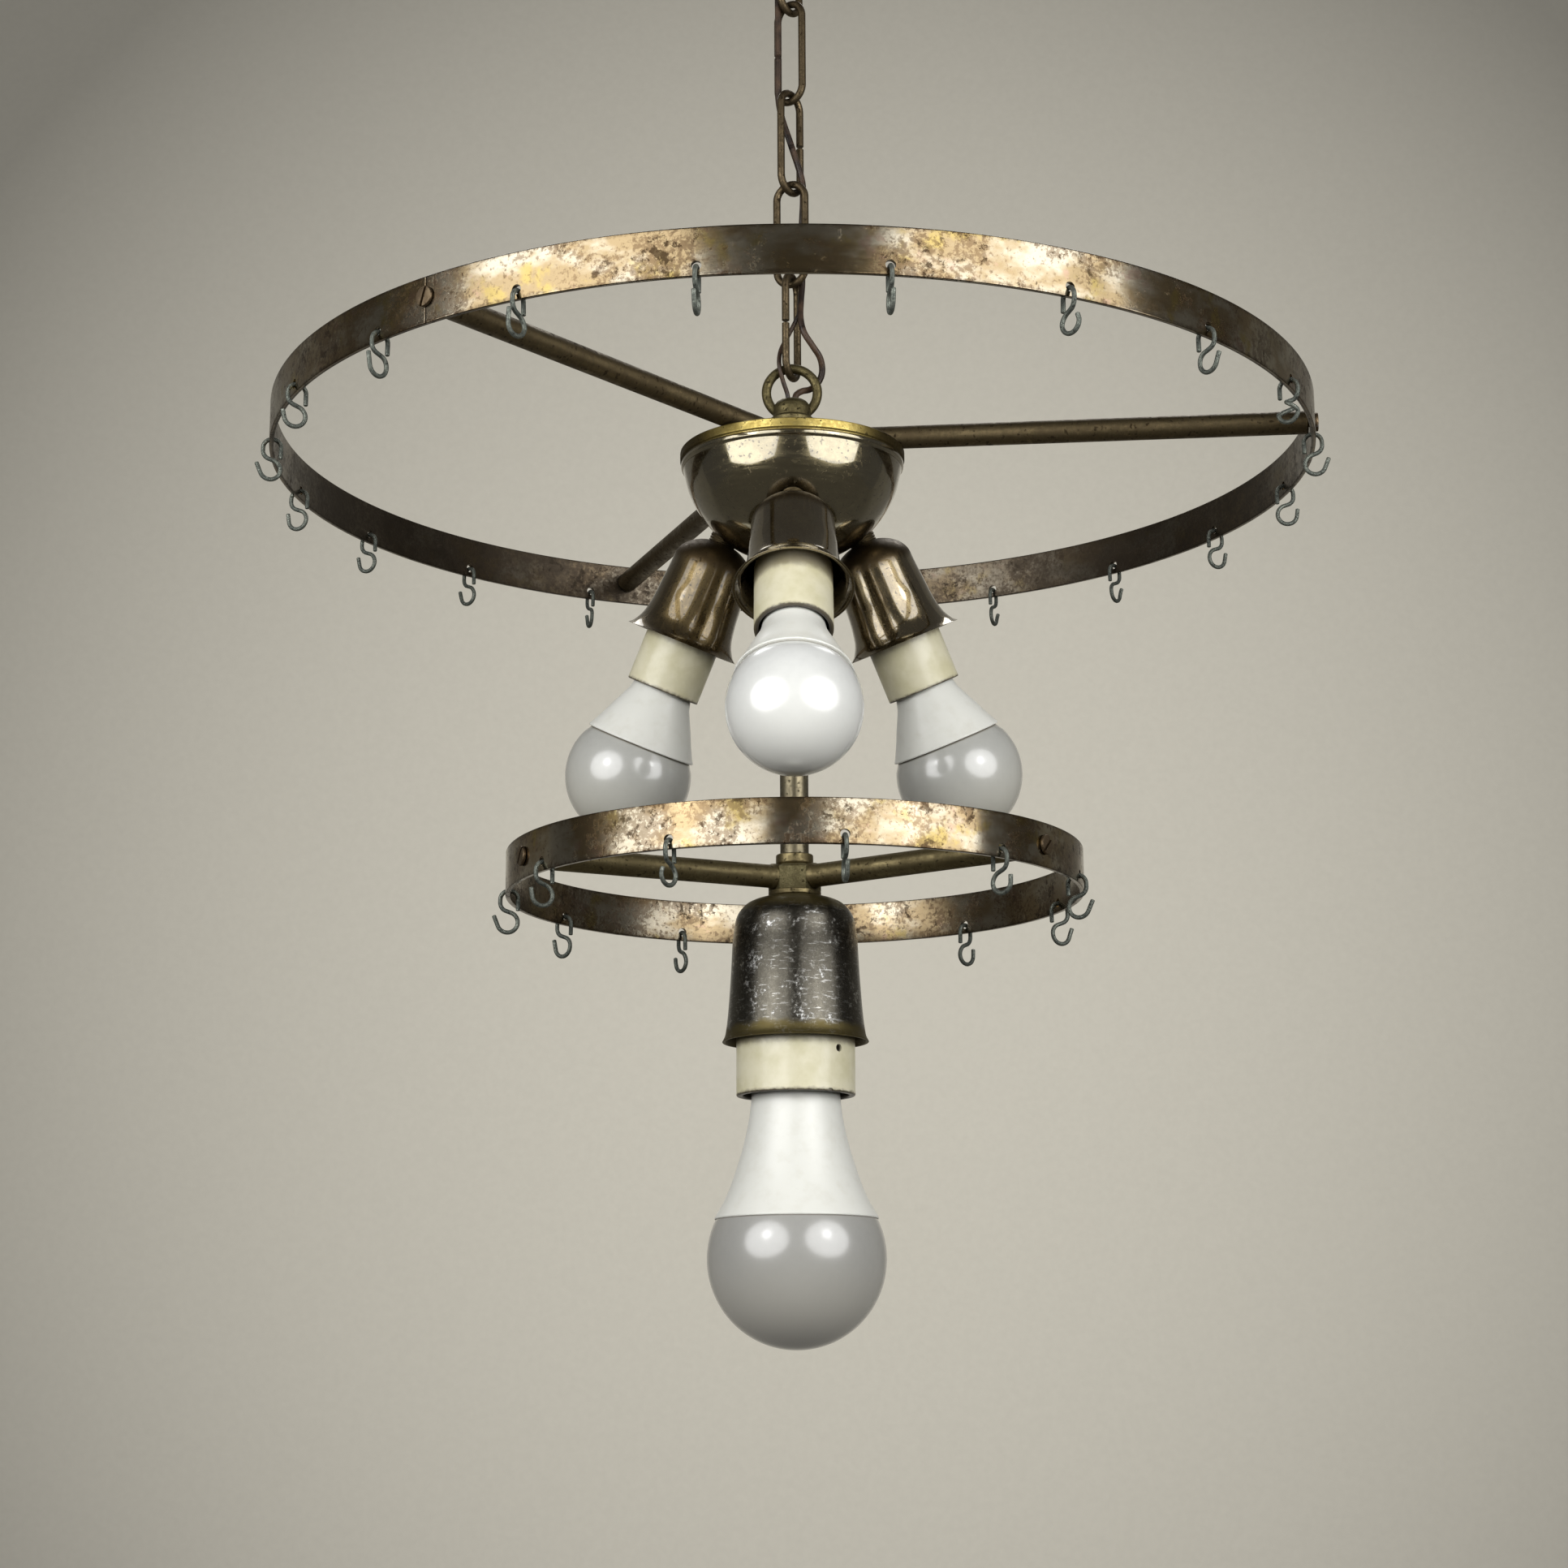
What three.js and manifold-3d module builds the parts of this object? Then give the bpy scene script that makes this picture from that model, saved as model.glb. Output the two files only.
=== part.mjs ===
// Two-tier brass chandelier frame: two hoops hung with hooks for glass drops, three tilted candle
// sockets under a bowl, one socket at the bottom, and the chain and ceiling cup that carry it.
// Millimetres, +Z up. The origin lies in the ceiling plane, on the lamp's axis.
// Directions round the axis are degrees from the front (-Y), growing towards +X.
import * as THREE from 'three';
import { mergeVertices } from 'three/addons/utils/BufferGeometryUtils.js';
import Module from 'manifold-3d';

const wasm = await Module();
wasm.setup();

// Driving dimensions. Heights in the lamp are above the upper hoop's bottom edge.
const clearance = 0.3; // air between pieces that touch on the real lamp
const slantClearance = 0.5; // the same where two wires cross at a slant
const overcut = 1; // how far a cutter runs past the face that it enters by
const ceilingDrop = 285; // from the ceiling down to the upper hoop's bottom edge
const thirds = [0, 120, 240]; // turns of the three arms and of the three sockets

const hoopWall = 1.6;
const upperHoop = { name: 'upper', radius: 182, height: 15.3, bottom: 0, hooks: 20, sides: 60 };
const lowerHoop = { name: 'lower', radius: 98.5, height: 14.8, bottom: -153.1, hooks: 11, sides: 44 };
const firstHook = 9; // direction of the first hook on both hoops
const hookHole = { radius: 1.6, rise: 3.2 };
const hook = {
  wire: 1.5, upperLoop: 3.05, shank: 1.1, lift: 0.55, freeEnd: 3.9,
  lowerLoop: 3.5, lowerShift: 0.4, lowerEnd: 320, loopGap: 6.8, tip: 2.9, tipTurn: 50,
};

const armTube = { radius: 4, knuckle: 4.5, knuckleReach: 4 };
const upperArms = { first: 82, screwHeight: 8.5, hubHeight: 11.1, boss: 11 };
const lowerArms = { first: 55, screwHeight: -145.7, hubHeight: -145.9, boss: 5.4 };
const armScrew = { shank: 1.6, shankInside: 2, head: 3.3, headRise: 1.4, hole: 2.1 };
const upperBoss = { chamfer: 1.6, crown: 8.6, crownSlope: 2 };
const lowerBoss = { top: -137.9, flange: 6.4, flangeHeight: 3.3, flangeSlope: 0.7 };
const locknut = { radius: 9, height: 2 };

const bowl = { radius: 39, wall: 1.2, rim: 6.3, rings: [22, 38, 54, 70], floorRise: 0.3, nippleHole: 5.5 };
const bowlLip = [[39.6, 0], [39.6, -3.3], [39.2, -3.6], [39.2, -5.4], [38.5, -5.9]]; // from the rim
const hubCover = { radius: 36.4, top: 5.1, thickness: 1, skirt: 3 };
const rod = { radius: 4.9, bore: 3.4, top: 12, bottom: -140.6, collar: 8, collarHeight: 3 };
const rodWindow = { width: 4.5, height: 12, middle: -8 };
const nipple = { radius: 4.9, bore: 3.2 };

// The small sockets: outlines are [radius, distance above the middle of the globe along the socket's axis].
const socketTilt = 26; // from the vertical, in degrees
const socketReach = 68.3; // from the lamp's axis to the middle of a small globe
const socketHeight = -102.3; // height of the middle of a small globe
const smallCup = {
  wall: 1,
  outside: [
    [20.65, 51.3], [18, 54.3], [16.3, 58.8], [15.1, 69.3], [14.3, 79.8], [12.74, 84.34], [8.8, 87.68],
    [5.2, 89.3],
  ],
};
const smallHolder = [
  [13.25, 32.8], [13.25, 60], [11.6, 61.2], [11.6, 78], [4.9, 82.5], [4.9, 98.4], // outside, nipple
  [7.2, 98.4], [7.2, 101.4], [3.2, 101.4], [3.2, 79], // nut and bore
  [9.6, 76.5], [9.6, 60], [11.7, 58.5], [11.7, 32.8], // inside
];
const smallBulb = {
  globe: 22.5, globeTo: 20, globeSteps: 6,
  housing: [[19.4, 13], [15, 22.5], [11.2, 29.8], [10.5, 35.6]],
  cap: [[6.9, 36.8], [6.9, 52], [0, 55.5]],
};

// The bottom socket: the cup and the holder in lamp heights, the bulb above the middle of its globe.
const largeCup = {
  wall: 1, top: -152.8,
  outside: [
    [24.9, -202.3], [23.5, -198.1], [22.5, -188.3], [21.3, -168.3], [20.5, -161.8], [18.2, -156.8],
    [13.8, -153.8], [9.5, -152.8], [5.2, -152.8],
  ],
};
const largeHolder = [
  [20.1, -220.5], [20.1, -194.5], [18.4, -192.5], [18.4, -166.1], [8, -154.1], // outside
  [4.9, -154.1], [4.9, -151.6], [3.2, -151.6], [3.2, -162.1], // nipple and bore
  [15.4, -168.1], [15.4, -192.5], [17.9, -194.5], [17.9, -220.5], // inside
];
const nippleTop = -151.6;
const largeGlobeHeight = -274.5;
const largeBulb = {
  globe: 30, globeTo: 27, globeSteps: 7,
  housing: [[23.4, 20.3], [20.5, 28.4], [16.9, 41], [15.1, 52], [14.9, 56.5]],
  cap: [[13.2, 58.5], [13.2, 74.5], [6.5, 78.5], [0, 79.5]],
};

const link = { wire: 2.7, length: 41, width: 13.8, slit: 0.9, bendSteps: 6 };
// Each link's turn about the vertical, from the top one down. The slit faces -X at turn 0.
const linkTurns = [232, -38, 232, 155, 68];
const eye = { radius: 9.05, wire: 3.4, height: 29.3, seat: 16.7, bore: 3, hubStem: 3.5 };
// The outline of the nut under an eye, from its seat.
const eyeNut = [[8, 0], [8, 2.4], [6.75, 3.4], [6.75, 6.1], [5.6, 8.7], [3.6, 9.7], [0, 9.7]];
const ceilingCup = { radius: 48, wall: 1.2, lip: 4.5, bead: 0.8, hole: 5.6, floor: 13, shoulder: 14 };
const cupRings = [20, 42, 64]; // where the ceiling cup's curve is stepped, in degrees
const crossbar = { length: 78, width: 16, thickness: 2.5, boss: 8, bossDepth: 8 };
const ceilingScrew = { radius: 2.4, reach: 29 };
const stemSeat = { play: 2, roof: 1.2 }; // the ceiling eye's stem ends in a blind socket in the crossbar
const leadRadius = 1.15;
const coreRadius = 0.8;

// Sides round each piece. They stay low, because solids this size are drawn and checked as plain facets.
const sides = {
  hookHole: 6, screwHole: 8, hookWire: 4, arm: 8, screw: 6, screwHead: 8, upperBoss: 16, lowerBoss: 14,
  rod: 14, nippleBore: 10, nippleSeat: 16, bowl: 24, bowlHole: 10, hubCover: 20,
  smallCup: 16, smallHolder: 12, smallBulb: 14, largeCup: 18, largeHolder: 14, largeBulb: 16,
  linkWire: 6, eyeWire: 6, eyeRing: 16, eyeNut: 12, eyeBore: 8,
  ceilingCup: 22, crossbarBoss: 16, stemSeat: 12, ceilingScrew: 10, lead: 8, core: 6,
};

// The brown lead, woven through the chain from the ceiling eye to the hub, as [x, y, height]. Near the hub
// one core leaves it, and goes straight through the eye while the lead loops round it.
const leadRoute = [
  [1.1, 0, 19], [1.1, 0, 26.5], [1.6, 0.4, 28.8], [3.6, 1.8, 30.6], [6.6, 3.6, 32], [9.4, 4, 34.6],
  [10.8, 3, 38], [10.2, 0.6, 42.4], [7.4, -1.8, 46.4], [4.4, -3, 51], [3.2, -2, 57], [3.4, 0, 64],
  [3.9, 1.5, 71], [4, 1.8, 80], [3.9, 1.1, 92], [4.4, 0.9, 103], [4.2, 0.9, 110], [0.2, 0, 124],
  [-3.2, -0.6, 135], [-4.3, -0.5, 142], [-4.3, -0.5, 152], [-4.2, -0.4, 166], [-4.3, -0.4, 178],
  [-4.4, 0.4, 188], [-4.4, 2, 198], [-4, 3.4, 207], [-3.4, 4.1, 212.5], [-2.4, 3.3, 217.5],
  [-0.9, 1.2, 221.5], [0, 0, 225], [0, 0, 231], [0, 0, 250],
];
const coreRoute = [
  [3.3, -1.2, 60], [1, -0.8, 55], [-1.6, -0.4, 50], [-3.8, -1.6, 45], [-4.5, -3, 40.5], [-4.2, -3.3, 37],
  [-3, -2, 32.6], [-1.6, -0.5, 28.6], [-1.3, 0, 25], [-1.3, 0, 19],
];
const leadSteps = 52;
const coreSteps = 10;

const brass = new THREE.MeshStandardMaterial({ color: 0x6a5a34, roughness: 0.38, metalness: 0.9 });
const brightBrass = new THREE.MeshStandardMaterial({ color: 0xc2a46c, roughness: 0.35, metalness: 0.9 });
const darkBrass = new THREE.MeshStandardMaterial({ color: 0x3a3222, roughness: 0.42, metalness: 0.9 });
const gunmetal = new THREE.MeshStandardMaterial({ color: 0x5a5854, roughness: 0.35, metalness: 0.9 });
const zincWire = new THREE.MeshStandardMaterial({ color: 0x6f716c, roughness: 0.45, metalness: 0.8 });
const cream = new THREE.MeshStandardMaterial({ color: 0xe4dcb8, roughness: 0.35, metalness: 0 });
const opal = new THREE.MeshStandardMaterial({ color: 0xe6e8ea, roughness: 0.3, metalness: 0 });
const brownLead = new THREE.MeshStandardMaterial({ color: 0x2c2218, roughness: 0.6, metalness: 0 });

const radians = THREE.MathUtils.degToRad;

// Leaves only positions and real triangles, joined into one closed surface that faces outwards.
function closed(geometry) {
  geometry.deleteAttribute('normal');
  geometry.deleteAttribute('uv');
  const merged = mergeVertices(geometry, 1e-4);
  const corner = [0, 1, 2].map(() => new THREE.Vector3());
  const kept = [];
  let volume = 0;
  for (let i = 0; i < merged.index.count; i += 3) {
    const [a, b, c] = [0, 1, 2].map((k) => merged.index.getX(i + k));
    if (a === b || b === c || c === a) continue;
    kept.push([a, b, c]);
    [a, b, c].forEach((v, k) => corner[k].fromBufferAttribute(merged.attributes.position, v));
    volume += corner[0].dot(corner[1].cross(corner[2]));
  }
  merged.setIndex(kept.flatMap(([a, b, c]) => (volume > 0 ? [a, b, c] : [a, c, b])));
  return merged;
}

function toSolid(geometry) {
  const mesh = closed(geometry);
  const vertProperties = new Float32Array(mesh.attributes.position.array);
  const triVerts = new Uint32Array(mesh.index.array);
  return new wasm.Manifold(new wasm.Mesh({ numProp: 3, vertProperties, triVerts }));
}

function toGeometry(solid) {
  const mesh = solid.getMesh();
  const geometry = new THREE.BufferGeometry();
  geometry.setAttribute('position', new THREE.BufferAttribute(mesh.vertProperties, 3));
  geometry.setIndex(new THREE.BufferAttribute(mesh.triVerts, 1));
  return geometry;
}

function join(...solids) {
  return solids.reduce((all, next) => all.add(next));
}

// Cuts geometries out of a solid.
function cut(body, cutters) {
  return body.subtract(join(...cutters.map(toSolid)));
}

// Turns a profile of [radius, height] points round the Z axis. A loop repeats its first point at the end.
function turned(profile, count, loop = false) {
  const points = loop ? [...profile, profile[0]] : profile;
  const geometry = new THREE.LatheGeometry(points.map(([r, z]) => new THREE.Vector2(r, z)), count);
  return geometry.rotateX(Math.PI / 2);
}

// A round bar from one point to another.
function bar(from, to, radius, count) {
  const along = new THREE.Vector3().subVectors(to, from);
  const geometry = new THREE.CylinderGeometry(radius, radius, along.length(), count);
  const upwards = new THREE.Vector3(0, 1, 0);
  const turn = new THREE.Quaternion().setFromUnitVectors(upwards, along.clone().normalize());
  return geometry.applyQuaternion(turn).translate(...from.clone().add(to).multiplyScalar(0.5).toArray());
}

// A round bar on the Z axis, between two heights.
function post(bottom, top, radius, count) {
  return bar(new THREE.Vector3(0, 0, bottom), new THREE.Vector3(0, 0, top), radius, count);
}

// A path that is stepped exactly through its points, so that straights take one step and bends several.
class Route extends THREE.Curve {
  constructor(points) {
    super();
    this.points = points;
  }

  getPoint(t) {
    const at = Math.min(t, 1) * (this.points.length - 1);
    const i = Math.min(Math.floor(at + 1e-9), this.points.length - 2);
    return this.points[i].clone().lerp(this.points[i + 1], at - i);
  }

  getPointAt(t) {
    return this.getPoint(t);
  }

  getTangent(t) {
    const i = Math.round(t * (this.points.length - 1));
    const before = this.points[Math.max(i - 1, 0)];
    const after = this.points[Math.min(i + 1, this.points.length - 1)];
    const here = this.points[i];
    const into = i > 0 ? here.clone().sub(before).normalize() : new THREE.Vector3();
    const outOf = i < this.points.length - 1 ? after.clone().sub(here).normalize() : new THREE.Vector3();
    return into.add(outOf).normalize();
  }

  getTangentAt(t) {
    return this.getTangent(t);
  }
}

// Round wire of the given radius that follows the points.
function wire(points, radius, count) {
  const section = new THREE.Shape();
  for (let i = 0; i < count; i += 1) {
    const turn = (2 * Math.PI * i) / count;
    section[i ? 'lineTo' : 'moveTo'](radius * Math.cos(turn), radius * Math.sin(turn));
  }
  section.closePath();
  const extrudePath = new Route(points);
  return new THREE.ExtrudeGeometry(section, { steps: points.length - 1, extrudePath, bevelEnabled: false });
}

// Points [across, up] on a circle, from one angle to another in degrees.
function arc(across, up, radius, from, to, steps) {
  return Array.from({ length: steps + 1 }, (_, i) => {
    const turn = radians(from + ((to - from) * i) / steps);
    return [across + radius * Math.cos(turn), up + radius * Math.sin(turn)];
  });
}

function mesh(name, geometry, material, parent) {
  const piece = new THREE.Mesh(geometry, material);
  piece.name = name;
  parent.add(piece);
  return piece;
}

// A group turned round the axis, in which -Y points outwards.
function spoke(direction, parent) {
  const group = new THREE.Group();
  group.rotation.z = radians(direction);
  parent.add(group);
  return group;
}

function hookDirections(hoop) {
  return Array.from({ length: hoop.hooks }, (_, i) => firstHook + (360 * i) / hoop.hooks);
}

// The hoop is turned so that each hook hangs in the middle of one of its flats.
function hoopGeometry(hoop, arms) {
  const inner = hoop.radius - hoopWall;
  const top = hoop.bottom + hoop.height;
  const profile = [[inner, hoop.bottom], [hoop.radius, hoop.bottom], [hoop.radius, top], [inner, top]];
  const band = turned(profile, hoop.sides, true).rotateZ(radians(firstHook + 180 / hoop.sides));
  const drill = (direction, height, radius, count) => {
    const from = new THREE.Vector3(0, overcut - inner * Math.cos(Math.PI / hoop.sides), height);
    const to = new THREE.Vector3(0, -overcut - hoop.radius, height);
    return bar(from, to, radius, count).rotateZ(radians(direction));
  };
  const holeHeight = hoop.bottom + hookHole.rise;
  const holes = hookDirections(hoop).map((turn) => drill(turn, holeHeight, hookHole.radius, sides.hookHole));
  const screwHole = (turn) => drill(arms.first + turn, arms.screwHeight, armScrew.hole, sides.screwHole);
  return toGeometry(cut(toSolid(band), [...holes, ...thirds.map(screwHole)]));
}

// The hook's line as [outwards, up] from the middle of its upper loop: up the free end inside the hoop, over
// its edge, down its outside, slanting across below it and round the open loop that a glass drop hangs in.
function hookLine() {
  const { upperLoop, lowerLoop, lowerShift, lowerEnd, loopGap, shank, freeEnd, tip, tipTurn } = hook;
  const slant = THREE.MathUtils.radToDeg(Math.acos((upperLoop + lowerLoop) / loopGap));
  const line = [
    [-upperLoop, -freeEnd],
    ...arc(0, 0, upperLoop, 180, 0, 4),
    ...arc(0, -shank, upperLoop, 0, slant - 90, 2),
    ...arc(lowerShift, -shank - loopGap, lowerLoop, 90 + slant, lowerEnd, 5),
  ];
  const [out, up] = line.at(-1);
  line.push([out + tip * Math.cos(radians(tipTurn)), up + tip * Math.sin(radians(tipTurn))]);
  return hungLevel(line);
}

// Turns a line about the origin until its centre of weight hangs straight below.
function hungLevel(line) {
  let [outSum, upSum] = [0, 0];
  for (let i = 1; i < line.length; i += 1) {
    const [[out0, up0], [out1, up1]] = [line[i - 1], line[i]];
    const step = Math.hypot(out1 - out0, up1 - up0);
    outSum += step * (out0 + out1);
    upSum += step * (up0 + up1);
  }
  const lean = Math.atan2(outSum, -upSum);
  const [cos, sin] = [Math.cos(lean), Math.sin(lean)];
  return line.map(([out, up]) => [out * cos + up * sin, up * cos - out * sin]);
}

function hookGeometry() {
  const points = hookLine().map(([out, up]) => new THREE.Vector3(0, -out, up));
  return closed(wire(points, hook.wire / 2, sides.hookWire));
}

function addHooks(hoop, geometry, parent) {
  const holeFloor = hoop.bottom + hookHole.rise - hookHole.radius * Math.cos(Math.PI / sides.hookHole);
  const loopHeight = holeFloor + hook.lift + hook.wire / 2 - hook.upperLoop;
  const reach = (hoop.radius - hoopWall / 2) * Math.cos(Math.PI / hoop.sides);
  hookDirections(hoop).forEach((direction, i) => {
    const name = `${hoop.name}_hook_${i + 1}`;
    const piece = mesh(name, geometry, zincWire, spoke(direction, parent));
    piece.position.set(0, -reach, loopHeight);
  });
}

// One arm from the boss to the hoop, with the slotted screw that holds the hoop to its end.
function armSolid(hoop, arms, direction) {
  const inner = (hoop.radius - hoopWall) * Math.cos(Math.PI / hoop.sides);
  const start = new THREE.Vector3(0, -arms.boss / 2, arms.hubHeight);
  const end = new THREE.Vector3(0, clearance - inner, arms.screwHeight);
  const knuckleEnd = start.clone().lerp(end, (arms.boss + armTube.knuckleReach) / inner);
  const seat = new THREE.Vector3(0, -clearance - hoop.radius, arms.screwHeight);
  const headTop = seat.clone().add(new THREE.Vector3(0, -armScrew.headRise, 0));
  const inside = end.clone().add(new THREE.Vector3(0, armScrew.shankInside, 0));
  const parts = [
    bar(start, end, armTube.radius, sides.arm),
    bar(start, knuckleEnd, armTube.knuckle, sides.arm),
    bar(inside, headTop, armScrew.shank, sides.screw),
    bar(seat, headTop, armScrew.head, sides.screwHead),
  ];
  return join(...parts.map((part) => toSolid(part.rotateZ(radians(direction)))));
}

function spiderSolid(bossProfile, bossSides, hoop, arms) {
  const boss = toSolid(turned(bossProfile, bossSides));
  return join(boss, ...thirds.map((turn) => armSolid(hoop, arms, arms.first + turn)));
}

function upperSpiderGeometry() {
  const [bottom, top] = [bowl.rim + clearance, eye.seat - clearance];
  const { chamfer, crown, crownSlope } = upperBoss;
  const { boss } = upperArms;
  const profile = [
    [0, bottom], [boss - chamfer, bottom], [boss, bottom + chamfer],
    [boss, top - crownSlope], [crown, top], [0, top],
  ];
  const spider = spiderSolid(profile, sides.upperBoss, upperHoop, upperArms);
  const bore = post(bottom - overcut, top + overcut, rod.radius + slantClearance, sides.rod);
  return toGeometry(cut(spider, [bore]));
}

// The lower boss: a small flange, a body that the arms enter, and the broad locknut that bears on the cup.
function lowerSpiderGeometry() {
  const { top, flange, flangeHeight, flangeSlope } = lowerBoss;
  const { boss } = lowerArms;
  const bottom = largeCup.top + clearance;
  const nutTop = bottom + locknut.height;
  const profile = [
    [0, bottom], [locknut.radius, bottom], [locknut.radius, nutTop], [boss, nutTop],
    [boss, top - flangeHeight - flangeSlope], [flange, top - flangeHeight], [flange, top], [0, top],
  ];
  const spider = spiderSolid(profile, sides.lowerBoss, lowerHoop, lowerArms);
  return toGeometry(cut(spider, [
    post(rod.bottom - clearance, top + overcut, rod.radius + clearance, sides.rod),
    post(bottom - overcut, top, nipple.bore, sides.nippleBore),
    post(bottom - overcut, nippleTop + clearance, nipple.radius + clearance, sides.nippleSeat),
  ]));
}

// A screw eye: a ring standing on a domed nut with a collar, bored through for the lead. It stands on
// height 0, with a hollow stem below.
function eyeSolid(stem) {
  const ring = new THREE.TorusGeometry(eye.radius, eye.wire / 2, sides.eyeWire, sides.eyeRing);
  const nut = turned([[0, -stem], [rod.radius, -stem], [rod.radius, 0], ...eyeNut], sides.eyeNut);
  const standing = ring.rotateX(Math.PI / 2).translate(0, 0, eye.height - eye.seat);
  const domeTop = eyeNut.at(-1)[1];
  const bore = post(-stem - overcut, domeTop + overcut / 2, eye.bore, sides.eyeBore);
  return cut(join(toSolid(standing), toSolid(nut)), [bore]);
}

// A point on the front socket's axis, at a distance above the middle of its globe.
function alongSocket(distance) {
  const tilt = radians(socketTilt);
  const [out, up] = [socketReach - distance * Math.sin(tilt), socketHeight + distance * Math.cos(tilt)];
  return new THREE.Vector3(0, -out, up);
}

// The hub bowl: half a ball with a stepped lip, drilled for the rod and for the three socket nipples.
function bowlGeometry() {
  const { radius, wall, rim, rings, floorRise, nippleHole } = bowl;
  const onBall = (r) => (turn) => [r * Math.cos(radians(turn)), rim - r * Math.sin(radians(turn))];
  const rodHole = rod.radius + clearance;
  const floor = rim - radius + floorRise;
  const shell = toSolid(turned([
    [radius - wall, rim], ...bowlLip.map(([r, up]) => [r, rim + up]),
    ...rings.map(onBall(radius)), [rodHole, floor],
    [rodHole, floor + wall], ...rings.toReversed().map(onBall(radius - wall)),
  ], sides.bowl, true));
  const [from, to] = [alongSocket(80), alongSocket(110)];
  return toGeometry(cut(shell, thirds.map((turn) => (
    bar(from, to, nippleHole, sides.bowlHole).rotateZ(radians(turn))))));
}

// The lid that closes the bowl and covers the joints of the leads, with a skirt one thickness wide.
function hubCoverGeometry() {
  const { radius, top, thickness, skirt } = hubCover;
  const hole = rod.radius + clearance;
  return closed(turned([
    [hole, top - thickness], [radius - thickness, top - thickness], [radius - thickness, top - skirt],
    [radius, top - skirt], [radius, top], [hole, top],
  ], sides.hubCover, true));
}

// The tube between the tiers, with the collar that carries the bowl and a window for the socket leads.
function rodGeometry() {
  const { radius, bore, top, bottom, collar, collarHeight } = rod;
  const { width, height, middle } = rodWindow;
  const seat = bowl.rim - bowl.radius - clearance;
  const tube = toSolid(turned([
    [bore, bottom], [radius, bottom], [radius, seat - collarHeight - 1], [collar, seat - collarHeight],
    [collar, seat], [radius, seat], [radius, top], [bore, top],
  ], sides.rod, true));
  const window = new THREE.BoxGeometry(width, 2 * radius, height).translate(0, -radius, middle);
  return toGeometry(cut(tube, [window]));
}

// A cup spun from sheet. Its outline runs from the lip to the hole in its top, and the inside follows it.
function cupGeometry({ outside, wall }, count) {
  const last = outside.length - 1;
  const inside = outside.map(([r, z], i) => {
    if (i === 0) return [r - wall, z];
    if (i === last) return [r, z - wall];
    const [[r0, z0], [r1, z1]] = [outside[i - 1], outside[i + 1]];
    const run = Math.hypot(r1 - r0, z1 - z0);
    return [r - (wall * (z1 - z0)) / run, z + (wall * (r1 - r0)) / run];
  });
  return closed(turned([...outside, ...inside.reverse()], count, true));
}

// A bulb: opal globe, plastic housing, and the screw cap with its contact.
function bulbGeometry({ globe, globeTo, globeSteps, housing, cap }, count) {
  const [, ...ball] = arc(0, 0, globe, -90, globeTo, globeSteps);
  return closed(turned([[0, -globe], ...ball, ...housing, ...cap], count));
}

function addSockets(parent) {
  const cup = cupGeometry(smallCup, sides.smallCup);
  const holder = closed(turned(smallHolder, sides.smallHolder, true));
  const bulb = bulbGeometry(smallBulb, sides.smallBulb);
  thirds.forEach((direction, i) => {
    const socket = new THREE.Group();
    socket.position.set(0, -socketReach, socketHeight);
    socket.rotation.x = radians(-socketTilt);
    spoke(direction, parent).add(socket);
    mesh(`upper_cup_${i + 1}`, cup, darkBrass, socket);
    mesh(`upper_lampholder_${i + 1}`, holder, cream, socket);
    mesh(`upper_bulb_${i + 1}`, bulb, opal, socket);
  });
}

// One chain link in the XZ plane, bent from round wire, with its butted ends on the -X side.
function linkGeometry() {
  const bend = (link.width - link.wire) / 2;
  const straight = (link.length - link.width) / 2;
  const line = [
    [-bend, link.slit / 2],
    ...arc(0, straight, bend, 180, 0, link.bendSteps),
    ...arc(0, -straight, bend, 0, -180, link.bendSteps),
    [-bend, -link.slit / 2],
  ];
  return closed(wire(line.map(([x, z]) => new THREE.Vector3(x, 0, z)), link.wire / 2, sides.linkWire));
}

const linkReach = link.length - link.wire; // between the wire middles at a link's two ends
const linkPitch = linkReach - link.wire - clearance;
const lowestBend = eye.height + eye.radius - (eye.wire + link.wire) / 2 - clearance;
const highestBend = lowestBend + (linkTurns.length - 1) * linkPitch + linkReach;

function addChain(parent) {
  const geometry = linkGeometry();
  linkTurns.forEach((turn, i) => {
    const stepsUp = linkTurns.length - 1 - i;
    const piece = mesh(`chain_link_${i + 1}`, geometry, darkBrass, parent);
    piece.position.z = lowestBend + stepsUp * linkPitch + linkReach / 2;
    piece.rotation.z = radians(turn);
  });
}

// The ceiling eye hangs upside down, and its hollow stem passes up through the cup into the crossbar.
function addCeilingFitting(parent) {
  const ringMiddle = highestBend - (eye.wire + link.wire) / 2 - slantClearance + eye.radius;
  const seat = ringMiddle + eye.height - eye.seat;
  const stem = ceilingDrop - seat - crossbar.thickness - stemSeat.play;
  const upsideDown = toGeometry(eyeSolid(stem)).rotateX(Math.PI);
  mesh('ceiling_eye', upsideDown, darkBrass, parent).position.z = seat;
  mesh('ceiling_cup', ceilingCupGeometry(seat - ceilingDrop), darkBrass, parent).position.z = ceilingDrop;
  mesh('ceiling_crossbar', crossbarGeometry(), zincWire, parent).position.z = ceilingDrop;
}

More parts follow.
